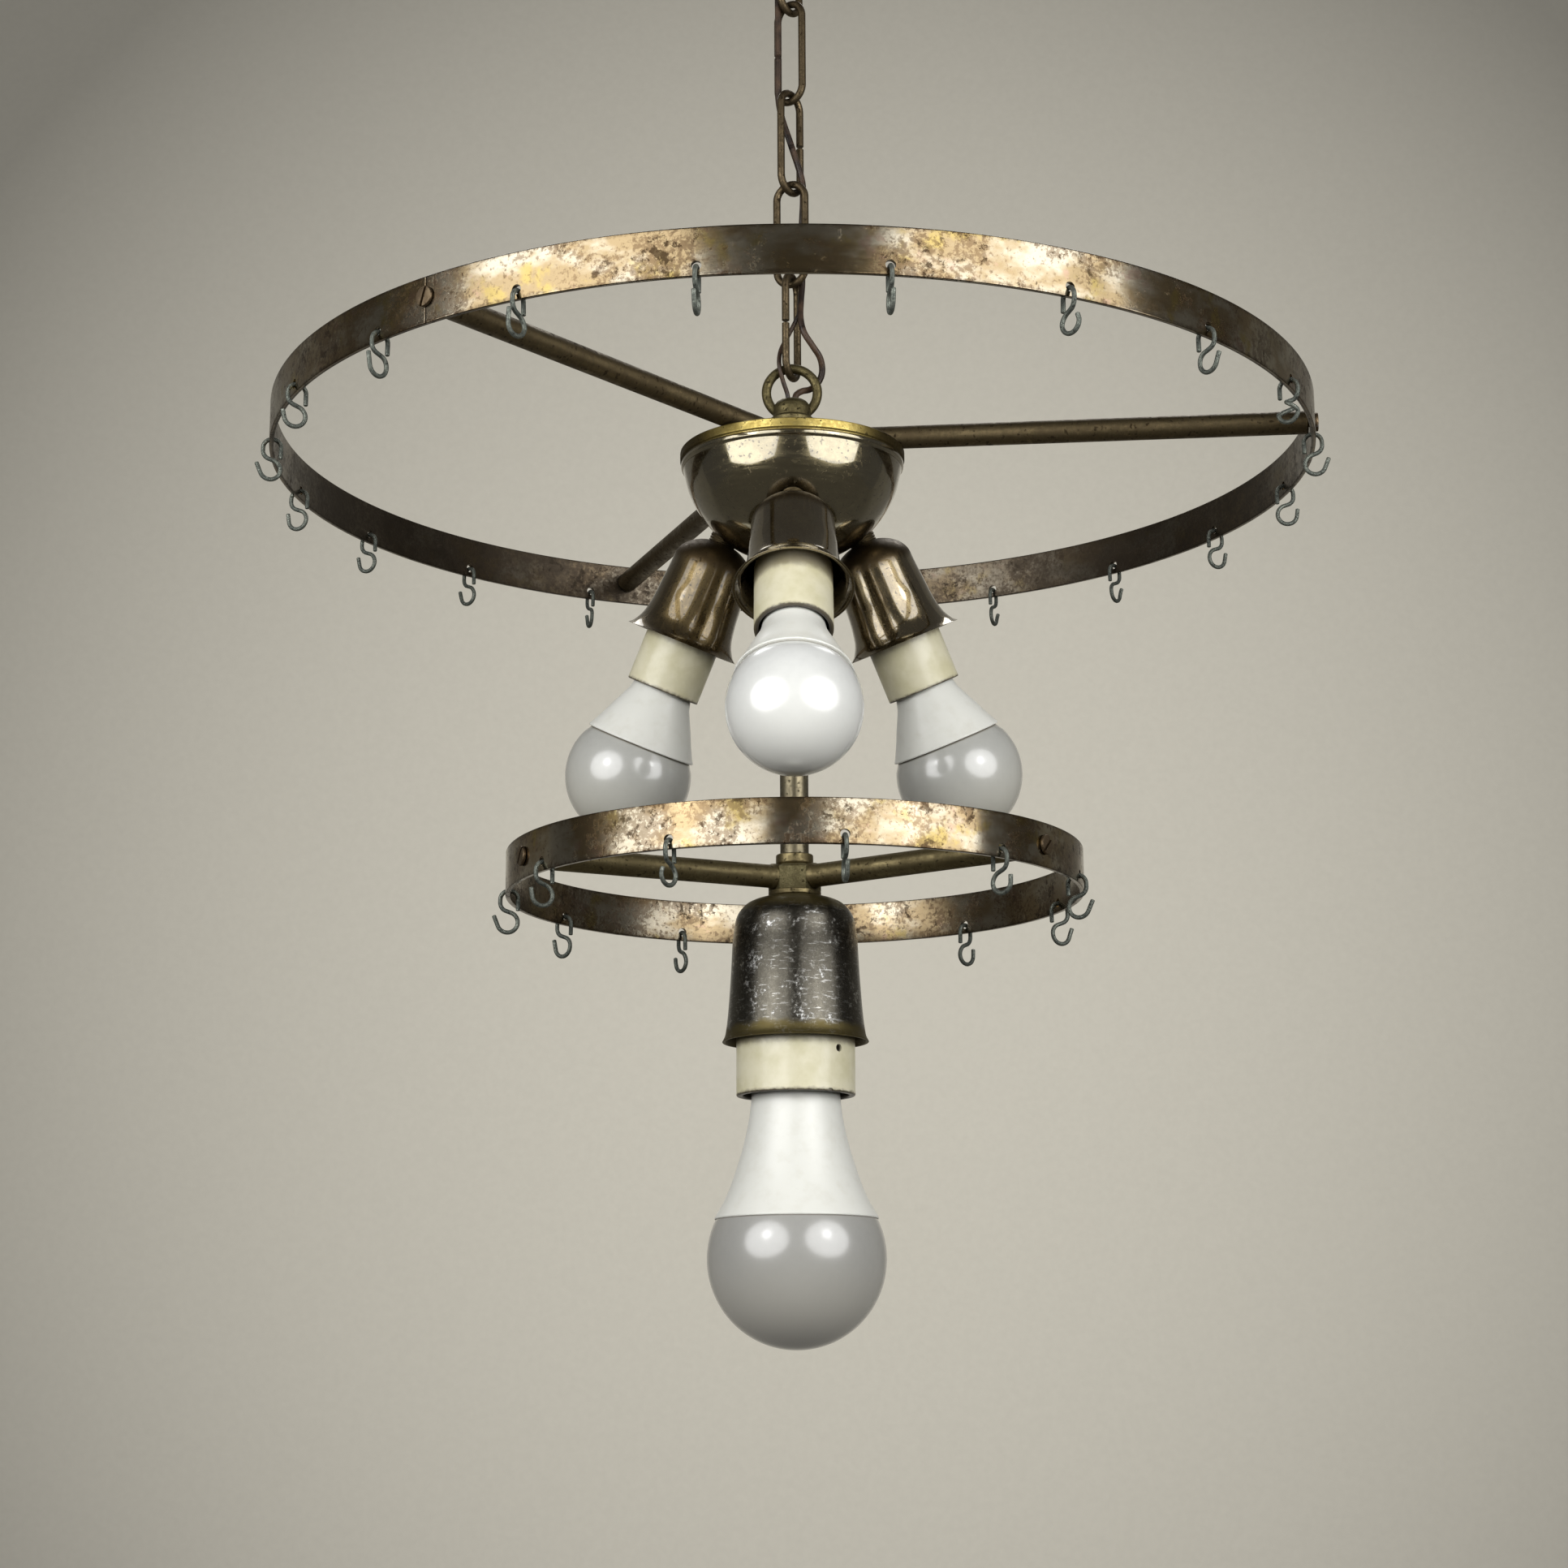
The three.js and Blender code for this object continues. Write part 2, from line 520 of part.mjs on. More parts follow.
// The cup against the ceiling, seen from the room as a shallow bell. Height 0 is the ceiling.
function ceilingCupGeometry(eyeSeat) {
  const { radius, wall, lip, bead, hole, floor, shoulder } = ceilingCup;
  const floorHeight = eyeSeat + clearance;
  const curve = (inset) => (turn) => [
    shoulder + (radius - shoulder - inset) * Math.cos(radians(turn)),
    -lip + (floorHeight + lip + inset) * Math.sin(radians(turn)),
  ];
  return closed(turned([
    [radius - wall, -clearance], [radius, -clearance], [radius, -lip], [radius - bead, -lip - bead],
    ...cupRings.map(curve(bead)), [floor, floorHeight], [hole, floorHeight], [hole, floorHeight + wall],
    [floor, floorHeight + wall], ...cupRings.toReversed().map(curve(wall + bead)),
    [radius - wall - bead, -lip],
  ], sides.ceilingCup, true));
}

// The steel bar that is screwed to the ceiling. Its boss takes the ceiling eye's stem.
function crossbarGeometry() {
  const { length, width, thickness, boss, bossDepth } = crossbar;
  const strip = new THREE.BoxGeometry(length, width, thickness).translate(0, 0, -thickness / 2);
  const end = -thickness - bossDepth;
  const hub = post(end, -thickness / 2, boss, sides.crossbarBoss);
  const socket = post(end - overcut, -thickness - stemSeat.roof, rod.radius + clearance, sides.stemSeat);
  const screwHoles = [-1, 1].map((side) => (
    post(-thickness - overcut, overcut, ceilingScrew.radius, sides.ceilingScrew)
      .translate(side * ceilingScrew.reach, 0, 0)));
  return toGeometry(cut(join(toSolid(strip), toSolid(hub)), [socket, ...screwHoles]));
}

function smooth(route, steps) {
  const points = route.map((point) => new THREE.Vector3(...point));
  return new THREE.CatmullRomCurve3(points, false, 'centripetal').getSpacedPoints(steps);
}

function leadGeometry() {
  const lead = toSolid(wire(smooth(leadRoute, leadSteps), leadRadius, sides.lead));
  const core = toSolid(wire(smooth(coreRoute, coreSteps), coreRadius, sides.core));
  return toGeometry(join(lead, core));
}

const chandelier = new THREE.Group();
const lamp = new THREE.Group();
lamp.position.z = -ceilingDrop;
chandelier.add(lamp);

addCeilingFitting(lamp);
addChain(lamp);
mesh('supply_lead', leadGeometry(), brownLead, lamp);
mesh('hub_eye', toGeometry(eyeSolid(eye.hubStem)), brass, lamp).position.z = eye.seat;
mesh('hub_cover', hubCoverGeometry(), brass, lamp);
mesh('hub_bowl', bowlGeometry(), brass, lamp);
mesh('centre_rod', rodGeometry(), brass, lamp);
mesh('upper_arms', upperSpiderGeometry(), darkBrass, lamp);
mesh('upper_hoop', hoopGeometry(upperHoop, upperArms), brightBrass, lamp);
mesh('lower_arms', lowerSpiderGeometry(), brass, lamp);
mesh('lower_hoop', hoopGeometry(lowerHoop, lowerArms), brightBrass, lamp);
addSockets(lamp);
mesh('lower_cup', cupGeometry(largeCup, sides.largeCup), gunmetal, lamp);
mesh('lower_lampholder', closed(turned(largeHolder, sides.largeHolder, true)), cream, lamp);
const lowerBulb = mesh('lower_bulb', bulbGeometry(largeBulb, sides.largeBulb), opal, lamp);
lowerBulb.position.z = largeGlobeHeight;
const hookShape = hookGeometry();
addHooks(upperHoop, hookShape, lamp);
addHooks(lowerHoop, hookShape, lamp);

export default chandelier;
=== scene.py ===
import random
from math import acos, cos, degrees, pi, radians, sin

import bmesh
import bpy
from mathutils import Matrix, Vector


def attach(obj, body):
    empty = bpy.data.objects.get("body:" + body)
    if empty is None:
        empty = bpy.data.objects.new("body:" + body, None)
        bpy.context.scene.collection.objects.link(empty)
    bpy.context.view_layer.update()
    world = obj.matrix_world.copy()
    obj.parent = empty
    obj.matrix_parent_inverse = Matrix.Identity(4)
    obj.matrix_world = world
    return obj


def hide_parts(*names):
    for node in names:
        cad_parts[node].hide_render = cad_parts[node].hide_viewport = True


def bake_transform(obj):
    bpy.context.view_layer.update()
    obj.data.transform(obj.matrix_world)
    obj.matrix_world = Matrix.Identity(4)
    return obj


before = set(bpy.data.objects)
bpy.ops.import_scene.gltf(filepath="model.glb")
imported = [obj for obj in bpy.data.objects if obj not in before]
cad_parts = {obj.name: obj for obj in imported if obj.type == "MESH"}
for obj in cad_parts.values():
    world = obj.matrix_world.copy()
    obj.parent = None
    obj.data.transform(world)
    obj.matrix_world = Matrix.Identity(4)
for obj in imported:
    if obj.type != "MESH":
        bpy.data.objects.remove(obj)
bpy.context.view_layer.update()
print("frame loaded:", len(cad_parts), "nodes")

# Sizes below are in millimetres, and heights are above the upper hoop's bottom edge, as on the drawing.
mm = 0.001
hoopDrop = 285  # from the ceiling down to the upper hoop's bottom edge
thirds = (0, 120, 240)
black = (0, 0, 0, 1)


def moved(x, y, z):
    return Matrix.Translation((x * mm, y * mm, z * mm))


def placed(name, data):
    made = bpy.data.objects.new(name, data)
    bpy.context.scene.collection.objects.link(made)
    return made


atLamp = moved(0, 0, -hoopDrop)
random.seed(11)

# The camera looks up at the lamp from a step away, turned a little against the horizon.
camera = {
    "place": (-3.5, -969.6, -609.6),  # from the ceiling point
    "pitch": 12.32,
    "roll": -0.286,
    "lens": 66.1,
    "sensor": 36,
}


def makeCamera():
    pitch, roll = radians(camera["pitch"]), radians(camera["roll"])
    right, up = Vector((1, 0, 0)), Vector((0, -sin(pitch), cos(pitch)))
    across = cos(roll) * right + sin(roll) * up
    upwards = cos(roll) * up - sin(roll) * right
    turn = Matrix((across, upwards, across.cross(upwards))).transposed().to_4x4()
    lens = bpy.data.cameras.new("roomCamera")
    lens.lens = camera["lens"]
    lens.sensor_width = camera["sensor"]
    made = placed("roomCamera", lens)
    made.matrix_world = Matrix.Translation(Vector(camera["place"]) * mm) @ turn
    bpy.context.scene.camera = made


makeCamera()
print("camera placed")


# Shader sums: an expression on these adds its Math nodes.
class Flow:
    def __init__(self, paint, socket):
        self.paint = paint
        self.socket = socket

    def worked(self, operation, *values):
        return self.paint.node("Math", {"operation": operation}, dict(enumerate(values)))

    def __add__(self, other):
        return self.worked("ADD", self, other)

    __radd__ = __add__

    def __sub__(self, other):
        return self.worked("SUBTRACT", self, other)

    def __rsub__(self, other):
        return self.worked("SUBTRACT", other, self)

    def __mul__(self, other):
        return self.worked("MULTIPLY", self, other)

    __rmul__ = __mul__

    def __abs__(self):
        return self.worked("ABSOLUTE", self)

    # 0 below low, 1 above high, with a soft step between
    def between(self, low, high):
        sockets = {"Value": self, "From Min": low, "From Max": high}
        return self.paint.node("MapRange", {"interpolation_type": "SMOOTHSTEP"}, sockets)


class Paint:
    def __init__(self, name, shift=0, kind=bpy.data.materials):
        self.material = kind.new(name)
        self.material.use_nodes = True
        self.nodes = self.material.node_tree.nodes
        self.links = self.material.node_tree.links
        self.nodes.clear()
        self.shift = shift  # moves the grain, so that pieces of one finish differ

    # Any shader node: its type, its settings, then the values or links of its sockets.
    def node(self, kind, settings=None, sockets=None, output=0):
        made = self.nodes.new("ShaderNode" + kind)
        for key, value in (settings or {}).items():
            setattr(made, key, value)
        for key, value in (sockets or {}).items():
            if isinstance(value, Flow):
                self.links.new(value.socket, made.inputs[key])
            else:
                made.inputs[key].default_value = value
        return Flow(self, made.outputs[output] if made.outputs else None)

    # A point's place on the piece itself, in metres.
    def place(self):
        return self.node("TexCoord", output="Object")

    def vector(self, operation, *values, output=0):
        return self.node("VectorMath", {"operation": operation}, dict(enumerate(values)), output)

    # Noise whose blotches are about size millimetres wide, drawn out by stretch along X, Y and Z.
    def noise(self, size, detail=4, roughness=0.55, stretch=(1, 1, 1)):
        spread = {"Vector": self.place(), "Location": (self.shift, 0, 0), "Scale": [1 / s for s in stretch]}
        shifted = self.node("Mapping", sockets=spread)
        grain = {"Vector": shifted, "Scale": 1 / (size * mm), "Detail": detail, "Roughness": roughness}
        return self.node("TexNoise", sockets=grain)

    # One coordinate of the piece itself, in millimetres.
    def along(self, axis):
        return self.node("SeparateXYZ", sockets={0: self.place()}, output=axis) * (1 / mm)

    # How far a point lies along a way from the piece's origin, in millimetres.
    def across(self, way):
        return self.vector("DOT_PRODUCT", self.place(), way, output="Value") * (1 / mm)

    # Distance from the piece's Z axis, in millimetres.
    def outwards(self):
        flat = self.vector("MULTIPLY", self.place(), (1, 1, 0))
        return self.vector("LENGTH", flat, output="Value") * (1 / mm)

    def mixed(self, share, first, second):
        return self.node("Mix", {"data_type": "RGBA"}, {0: share, 6: first, 7: second}, 2)

    # Named tones laid over a first one, each by its share.
    def layered(self, tones, first, *layers):
        colour = tones[first]
        for share, over in layers:
            colour = self.mixed(share, colour, tones[over])
        return colour

    # 1 for what the camera sees, straight or in metal or glass, and 0 for light on its way.
    def seen(self):
        rays = ("Is Camera Ray", "Is Glossy Ray", "Is Transmission Ray")
        camera, mirror, glass = (self.node("LightPath", output=ray) for ray in rays)
        return self.node("Math", {"operation": "MINIMUM"}, {0: camera + mirror + glass, 1: 1.0})

    def bump(self, height, depth, strength=1.0):
        sockets = {"Height": height, "Distance": depth * mm, "Strength": strength}
        return self.node("Bump", sockets=sockets)

    def finish(self, sockets):
        surface = self.node("BsdfPrincipled", sockets=sockets)
        self.node("OutputMaterial", sockets={"Surface": surface})
        return self.material


# A colour as a screen shows it, 0 to 255, turned into the shader's own.
def tone(red, green, blue):
    shares = [c / 255 for c in (red, green, blue)]
    return (*[c / 12.92 if c <= 0.04045 else ((c + 0.055) / 1.055) ** 2.4 for c in shares], 1)


# Edges bent by more than 38 degrees stay sharp.
def smoothed(mesh):
    mesh.shade_smooth()
    mesh.set_sharp_from_angle(angle=radians(38))


# Shapes: everything is drawn in millimetres, and the mesh is in metres.
def madePiece(name, points, faces, material, place=atLamp):
    mesh = bpy.data.meshes.new(name)
    mesh.from_pydata([tuple(c * mm for c in p) for p in points], [], faces)
    tidied = bmesh.new()
    tidied.from_mesh(mesh)
    bmesh.ops.recalc_face_normals(tidied, faces=tidied.faces)
    tidied.to_mesh(mesh)
    tidied.free()
    smoothed(mesh)
    mesh.materials.append(material)
    piece = placed(name, mesh)
    piece.matrix_world = place
    return piece


# A profile of (radius, height) turned round the Z axis. A loop closes on its own start.
def spun(name, profile, sides, material, loop=False, place=atLamp):
    points, rings = [], []
    for radius, height in profile:
        count = 1 if radius < 1e-6 else sides
        rings.append(list(range(len(points), len(points) + count)))
        for i in range(count):
            turn = 2 * pi * i / sides
            points.append((radius * cos(turn), radius * sin(turn), height))
    faces = []
    pairs = list(zip(rings, rings[1:])) + ([(rings[-1], rings[0])] if loop else [])
    for low, high in pairs:
        for i in range(sides):
            corners = [low[i % len(low)], low[(i + 1) % len(low)]]
            corners += [high[(i + 1) % len(high)], high[i % len(high)]]
            faces.append(tuple(dict.fromkeys(corners)))
    return madePiece(name, points, [f for f in faces if len(f) > 2], material, place)


# Rings of points round a line, carried along it without twisting.
def ringsAlong(line, radius, sides):
    line = [Vector(p) for p in line]
    ways = [(b - a).normalized() for a, b in zip(line, line[1:])]
    ways = [ways[0]] + [(a + b).normalized() for a, b in zip(ways, ways[1:])] + [ways[-1]]
    side = ways[0].orthogonal().normalized()
    rings = []
    for i, (middle, way) in enumerate(zip(line, ways)):
        side = (side - side.dot(way) * way).normalized()
        other = way.cross(side)
        reach = radius[i] if isinstance(radius, list) else radius
        turns = [2 * pi * k / sides for k in range(sides)]
        rings.append([middle + reach * (cos(t) * side + sin(t) * other) for t in turns])
    return rings


# The faces between rings of points, numbered from first on, and those over the two end rings.
def ringFaces(first, sides, count, ends=True):
    faces = []
    for start in range(first, first + (count - 1) * sides, sides):
        for i in range(sides):
            k = (i + 1) % sides
            faces.append((start + i, start + k, start + sides + k, start + sides + i))
    if ends:
        last = first + (count - 1) * sides
        faces += [tuple(range(first, first + sides)), tuple(range(last, last + sides))]
    return faces


def skinned(name, rings, material, ends=True, place=atLamp):
    faces = ringFaces(0, len(rings[0]), len(rings), ends)
    return madePiece(name, [p for ring in rings for p in ring], faces, material, place)


# A round wire or bar along a line, with its end edges broken by a small bevel.
def swept(name, line, radius, sides, material, place=atLamp, bevel=0.15):
    line = [Vector(p) for p in line]
    first = line[0].lerp(line[1], min(0.5, bevel / (line[1] - line[0]).length))
    last = line[-1].lerp(line[-2], min(0.5, bevel / (line[-1] - line[-2]).length))
    line = [line[0], first] + line[1:-1] + [last, line[-1]]
    reaches = [radius - bevel] + [radius] * (len(line) - 2) + [radius - bevel]
    return skinned(name, ringsAlong(line, reaches, sides), material, place=place)


def arc(across, up, radius, start, end, steps):
    turns = [radians(start + (end - start) * i / steps) for i in range(steps + 1)]
    return [(across + radius * cos(t), up + radius * sin(t)) for t in turns]


# A smooth curve through points of any size, centripetal so that it never loops.
def curved(points, steps):
    points = [Vector(p) for p in points]
    points = [2 * points[0] - points[1], *points, 2 * points[-1] - points[-2]]
    line = []
    spans = [[(0, 1), (1, 2), (2, 3)], [(0, 2), (1, 3)], [(1, 2)]]
    for four in zip(points, points[1:], points[2:], points[3:]):
        knots = [0.0]
        for p, q in zip(four, four[1:]):
            knots.append(knots[-1] + max((q - p).length, 1e-9) ** 0.5)
        for i in range(steps):
            t = knots[1] + (knots[2] - knots[1]) * i / steps
            level = four
            for span in spans:
                shares = [(t - knots[low]) / (knots[high] - knots[low]) for low, high in span]
                level = [p.lerp(q, share) for p, q, share in zip(level, level[1:], shares)]
            line.append(level[0])
    return line + [points[-2]]


# Rounds the corners of a profile by a small radius, so that its edges catch the light. One more point on
# each side keeps the flat faces beside them flat. A corner below 14 degrees is left as it is.
def softened(profile, reach, loop=False):
    points = [Vector(p) for p in profile]
    made = [] if loop else [points[0]]
    span = range(len(points)) if loop else range(1, len(points) - 1)
    for i in span:
        before, here, after = points[i - 1], points[i], points[(i + 1) % len(points)]
        into, out = here - before, after - here
        if into.angle(out, 0) < radians(14):
            made.append(here)
            continue
        start = here - into.normalized() * min(reach, into.length * 0.4)
        end = here + out.normalized() * min(reach, out.length * 0.4)
        made.append(here - into.normalized() * min(1.6 * reach, into.length * 0.47))
        for t in (0, 0.33, 0.67, 1):
            made.append((1 - t) ** 2 * start + 2 * t * (1 - t) * here + t * t * end)
        made.append(here + out.normalized() * min(1.6 * reach, out.length * 0.47))
    return [tuple(p) for p in (made if loop else made + [points[-1]])]


# A closed profile with softened corners, turned round the Z axis.
def turned(name, profile, reach, sides, material, place=atLamp):
    return spun(name, softened(profile, reach, True), sides, material, True, place)


# Cuts round holes and other cutters out of a piece, then throws the cutters away.
def cutOut(piece, cutters):
    for cutter in cutters:
        cutter.hide_render = True
        step = piece.modifiers.new("hole", "BOOLEAN")
        step.operation = "DIFFERENCE"
        step.solver = "EXACT"
        step.object = cutter
    bpy.context.view_layer.update()
    seen = piece.evaluated_get(bpy.context.evaluated_depsgraph_get())
    cut = bpy.data.meshes.new_from_object(seen)
    piece.modifiers.clear()
    piece.data = cut
    smoothed(cut)
    for cutter in cutters:
        bpy.data.objects.remove(cutter)


# Plugs to drill with, all in one mesh, each from one point to another.
def drills(holes, radius, sides=20):
    points, faces = [], []
    for start, end in holes:
        faces += ringFaces(len(points), sides, 2)
        for ring in ringsAlong([start, end], radius, sides):
            points += ring
    return madePiece("drills", points, faces, None)


def turnedBy(direction):
    return atLamp @ Matrix.Rotation(radians(direction), 4, "Z")


def onSpoke(direction, outwards, height):
    turn = radians(direction)
    return Vector((outwards * sin(turn), -outwards * cos(turn), height))


def dressed(piece, node, body="lamp_frame"):
    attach(piece, body)
    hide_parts(node)


# What the aged metals share. Each look adds its four tones, the sizes of its grain and what differs.
metal = {
    "worn": (0.4, 0.62), "rubbed": (0.54, 0.68), "rubs": 0.6, "scratch": 0.8, "drawn": (1, 1, 1),
    "rough": (0.26, 0.42), "metal": 1.0, "relief": 0.06,
}


# Aged metal: a dark skin, worn patches and bright rubs, with pits and drawn scratches, and, where a look
# asks for it, painted shade that darkens and dulls one end.
def agedMetal(name, look, shift=0):
    paint = Paint(name, shift)
    look = metal | look
    dark, middle, bright, pits = (tone(*t) for t in look["tones"])
    patches = paint.noise(look["patch"], 5, 0.62)
    grains = paint.noise(look["patch"] / 7, 6, 0.7)
    worn = (patches * 0.55 + grains * 0.45).between(*look["worn"])
    rubbed = (paint.noise(look["patch"] / 2.2, 7, 0.72) * 0.6 + grains * 0.4).between(*look["rubbed"])
    streaks = paint.noise(look["scratch"], 3, 0.6, look["drawn"])
    specks = paint.noise(look["speck"], 3, 0.5).between(0.6, 0.68)
    colour = paint.mixed(worn, dark, middle)
    colour = paint.mixed(rubbed * look["rubs"], colour, bright)
    colour = paint.mixed(specks * 0.75, colour, pits)
    low, high = look["rough"]
    rough = (high - (high - low) * worn + 0.16 * specks + (streaks - 0.5) * 0.25).between(-1, 1) * 2 - 1
    tarnish_and_painted_shade = specks * 0
    if "tarnish_and_painted_shade" in look:  # painted shade over one end: the way to it, where it starts and where it is full
        way, start, full = look["tarnish_and_painted_shade"]
        tarnish_and_painted_shade = (abs(paint.across(way)) + (patches - 0.5) * (full - start) * 0.6).between(start, full)
        colour = paint.mixed(tarnish_and_painted_shade * 0.92, colour, pits)
        rough = rough + tarnish_and_painted_shade * 0.22
    height = streaks * 0.5 + grains * 0.8 - specks * 0.6
    sockets = {"Base Color": colour, "Metallic": look["metal"], "Roughness": rough}
    sockets["Normal"] = paint.bump(height, look["relief"], 0.6)
    if "lacquer" in look:
        sockets |= {"Coat Weight": 1 - tarnish_and_painted_shade, "Coat IOR": look["lacquer"], "Coat Roughness": 0.06}
    return paint.finish(sockets)


# The supply lead comes first: one soft brown cord through the chain, whose second core leaves it by the hub.
lead = {
    "radius": 1.15,
    "coreRadius": 0.8,
    "route": [
        (1.1, 0, 19), (1.1, 0, 26.5), (1.6, 0.4, 28.8), (3.6, 1.8, 30.6), (6.6, 3.6, 32), (9.4, 4, 34.6),
        (10.8, 3, 38), (10.2, 0.6, 42.4), (7.4, -1.8, 46.4), (4.4, -3, 51), (3.2, -2, 57), (3.4, 0, 64),
        (3.9, 1.5, 71), (4, 1.8, 80), (3.9, 1.1, 92), (4.4, 0.9, 103), (4.2, 0.9, 110), (0.2, 0, 124),
        (-3.2, -0.6, 135), (-4.3, -0.5, 142), (-4.3, -0.5, 152), (-4.2, -0.4, 166), (-4.3, -0.4, 178),
        (-4.4, 0.4, 188), (-4.4, 2, 198), (-4, 3.4, 207), (-3.4, 4.1, 212.5), (-2.4, 3.3, 217.5),
        (-0.9, 1.2, 221.5), (0, 0, 225), (0, 0, 231), (0, 0, 250),
    ],
    "coreRoute": [
        (3.3, -1.2, 60), (1, -0.8, 55), (-1.6, -0.4, 50), (-3.8, -1.6, 45), (-4.5, -3, 40.5),
        (-4.2, -3.3, 37), (-3, -2, 32.6), (-1.6, -0.5, 28.6), (-1.3, 0, 25), (-1.3, 0, 19),
    ],
    "dark": tone(34, 24, 17),
    "light": tone(74, 54, 36),
}
chainPivots = [210.95, 176.2, 140.9, 105.6, 70.3, 35.0]  # heights at which each link swings on the one above


def leadFinish():
    paint = Paint("brownLead")
    stains = paint.noise(6, 4).between(0.35, 0.7)
    return paint.finish({
        "Base Color": paint.mixed(stains, lead["dark"], lead["light"]),
        "Roughness": 0.38 + 0.2 * stains,
        "Normal": paint.bump(paint.noise(1.2, 3), 0.05),
    })


def makeLead():
    finish = leadFinish()
    line = curved(lead["route"], 8)
    rings = ringsAlong(line, lead["radius"], 14)
    cuts = [(a + b) / 2 for a, b in zip(chainPivots, chainPivots[1:])]
    limits = [251, *cuts, 0]
    for i, pivot in enumerate(chainPivots):
        inside = [k for k, p in enumerate(line) if limits[i + 1] <= p[2] <= limits[i]]
        first, last = max(inside[0] - 1, 0), min(inside[-1] + 1, len(line) - 1)
        if i == len(chainPivots) - 1:
            first = 0
        piece = skinned(f"lead_{i + 1}", rings[first:last + 1], finish, ends=i in (0, 5))
        bendLead(piece)
    core = swept("lead_core", curved(lead["coreRoute"], 8), lead["coreRadius"], 12, finish)
    bendLead(core)


def bendLead(piece):
    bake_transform(piece)
    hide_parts("supply_lead")


makeLead()
print("lead made")

# The chain: open wire links, each with a butted gap, and the screw eyes at its two ends.
chain = {
    "wire": 2.7,
    "length": 41,
    "width": 13.8,
    "slit": 0.9,
    "turns": [232, -38, 232, 155, 68],
    "middles": [195.35, 160.05, 124.75, 89.45, 54.15],
    "finish": {
        "tones": [(86, 75, 57), (108, 94, 72), (146, 128, 94), (44, 35, 24)],
        "patch": 7, "speck": 1.6, "drawn": (1, 1, 7), "worn": (0.42, 0.62), "rubbed": (0.54, 0.66),
        "rubs": 0.7, "rough": (0.26, 0.44),
    },
}
eye = {"radius": 9.05, "wire": 3.4, "ringMiddle": 12.6, "collar": 8, "dome": 6.75, "domeTop": 9.7, "bore": 3}


def makeChain():
    finish = agedMetal("chainBrass", chain["finish"])
    bend, straight = (chain["width"] - chain["wire"]) / 2, (chain["length"] - chain["width"]) / 2
    line = [(-bend, chain["slit"] / 2), (-bend, straight * 0.5)]
    line += arc(0, straight, bend, 180, 0, 22) + arc(0, -straight, bend, 0, -180, 22)
    line += [(-bend, -straight * 0.5), (-bend, -chain["slit"] / 2)]
    for i, (turn, middle) in enumerate(zip(chain["turns"], chain["middles"])):
        place = turnedBy(turn) @ moved(0, 0, middle)
        link = swept(f"link_{i + 1}", [(x, 0, z) for x, z in line], chain["wire"] / 2, 16, finish, place)
        dressed(link, f"chain_link_{i + 1}", f"chain_link_{i + 1}")


# A ring on a domed nut with a collar. Height 0 is the face that it stands on.
def makeEye(node, body, place, stem, finish):
    ring = [(x, 0, z) for x, z in arc(0, eye["ringMiddle"], eye["radius"], -62, 242, 48)]
    dressed(swept(f"{node}_ring", ring, eye["wire"] / 2, 18, finish, place), node, body)
    collar, dome, top, bore = eye["collar"], eye["dome"], eye["domeTop"], eye["bore"]
    outside = [(bore, -stem), (4.9, -stem), (4.9, 0), (collar, 0), (collar, 2.4), (dome + 0.1, 2.9)]
    outside += [(dome, 3.5), (dome, top - 3.6), (6.4, top - 2.2), (5.5, top - 0.9), (4.4, top - 0.2)]
    outside.append((bore, top))
    dressed(turned(f"{node}_nut", outside, 0.35, 48, finish, place), node, body)


hubEye = {
    "seat": 16.7,
    "stem": 3.5,
    "finish": {
        "tones": [(92, 84, 58), (116, 106, 74), (150, 138, 98), (50, 44, 30)],
        "patch": 8, "speck": 1.4, "scratch": 0.9, "drawn": (4, 4, 1), "worn": (0.4, 0.6),
        "rubbed": (0.55, 0.68), "rough": (0.28, 0.45),
    },
}
ceilingFitting = {
    "eyeSeat": 232.6,
    "stem": 47.9,
    "cupRadius": 48,
    "cupWall": 1.2,
    "lip": 4.5,
    "floor": 232.9,  # height of the cup's lowest face
    "hole": 5.6,
    "finish": {
        "tones": [(96, 84, 60), (120, 107, 78), (152, 136, 100), (50, 42, 30)],
        "patch": 22, "speck": 2.2, "scratch": 1.4, "drawn": (7, 7, 1), "worn": (0.42, 0.62),
        "rubbed": (0.56, 0.68), "rubs": 0.5, "rough": (0.24, 0.42), "relief": 0.05,
    },
}


def makeCeilingFitting():
    finish = agedMetal("ceilingBrass", ceilingFitting["finish"], 0.3)
    upsideDown = moved(0, 0, ceilingFitting["eyeSeat"]) @ Matrix.Rotation(pi, 4, "X")
    makeEye("ceiling_eye", "ceiling_fitting", atLamp @ upsideDown, ceilingFitting["stem"], finish)
    radius, wall, lip = (ceilingFitting[k] for k in ("cupRadius", "cupWall", "lip"))
    floor, hole = ceilingFitting["floor"] - hoopDrop, ceilingFitting["hole"]

    def bell(inset, start, end):
        reach, drop = radius - 14 - inset, floor + lip + inset
        return [(14 + reach * x, -lip + drop * z) for x, z in arc(0, 0, 1, start, end, 16)]

    rim = [(radius - wall, -0.3), (radius, -0.3), (radius, -lip), (radius - 0.8, -lip - 0.6)]
    profile = rim + bell(0.8, 4, 86) + [(12.5, floor), (hole, floor), (hole, floor + wall)]
    profile += [(12.5, floor + wall)] + bell(wall + 0.8, 86, 4) + [(radius - wall - 0.8, -lip)]
    cup = turned("ceiling_bell", profile, 0.4, 96, finish, Matrix.Identity(4))
    dressed(cup, "ceiling_cup", "ceiling_fitting")


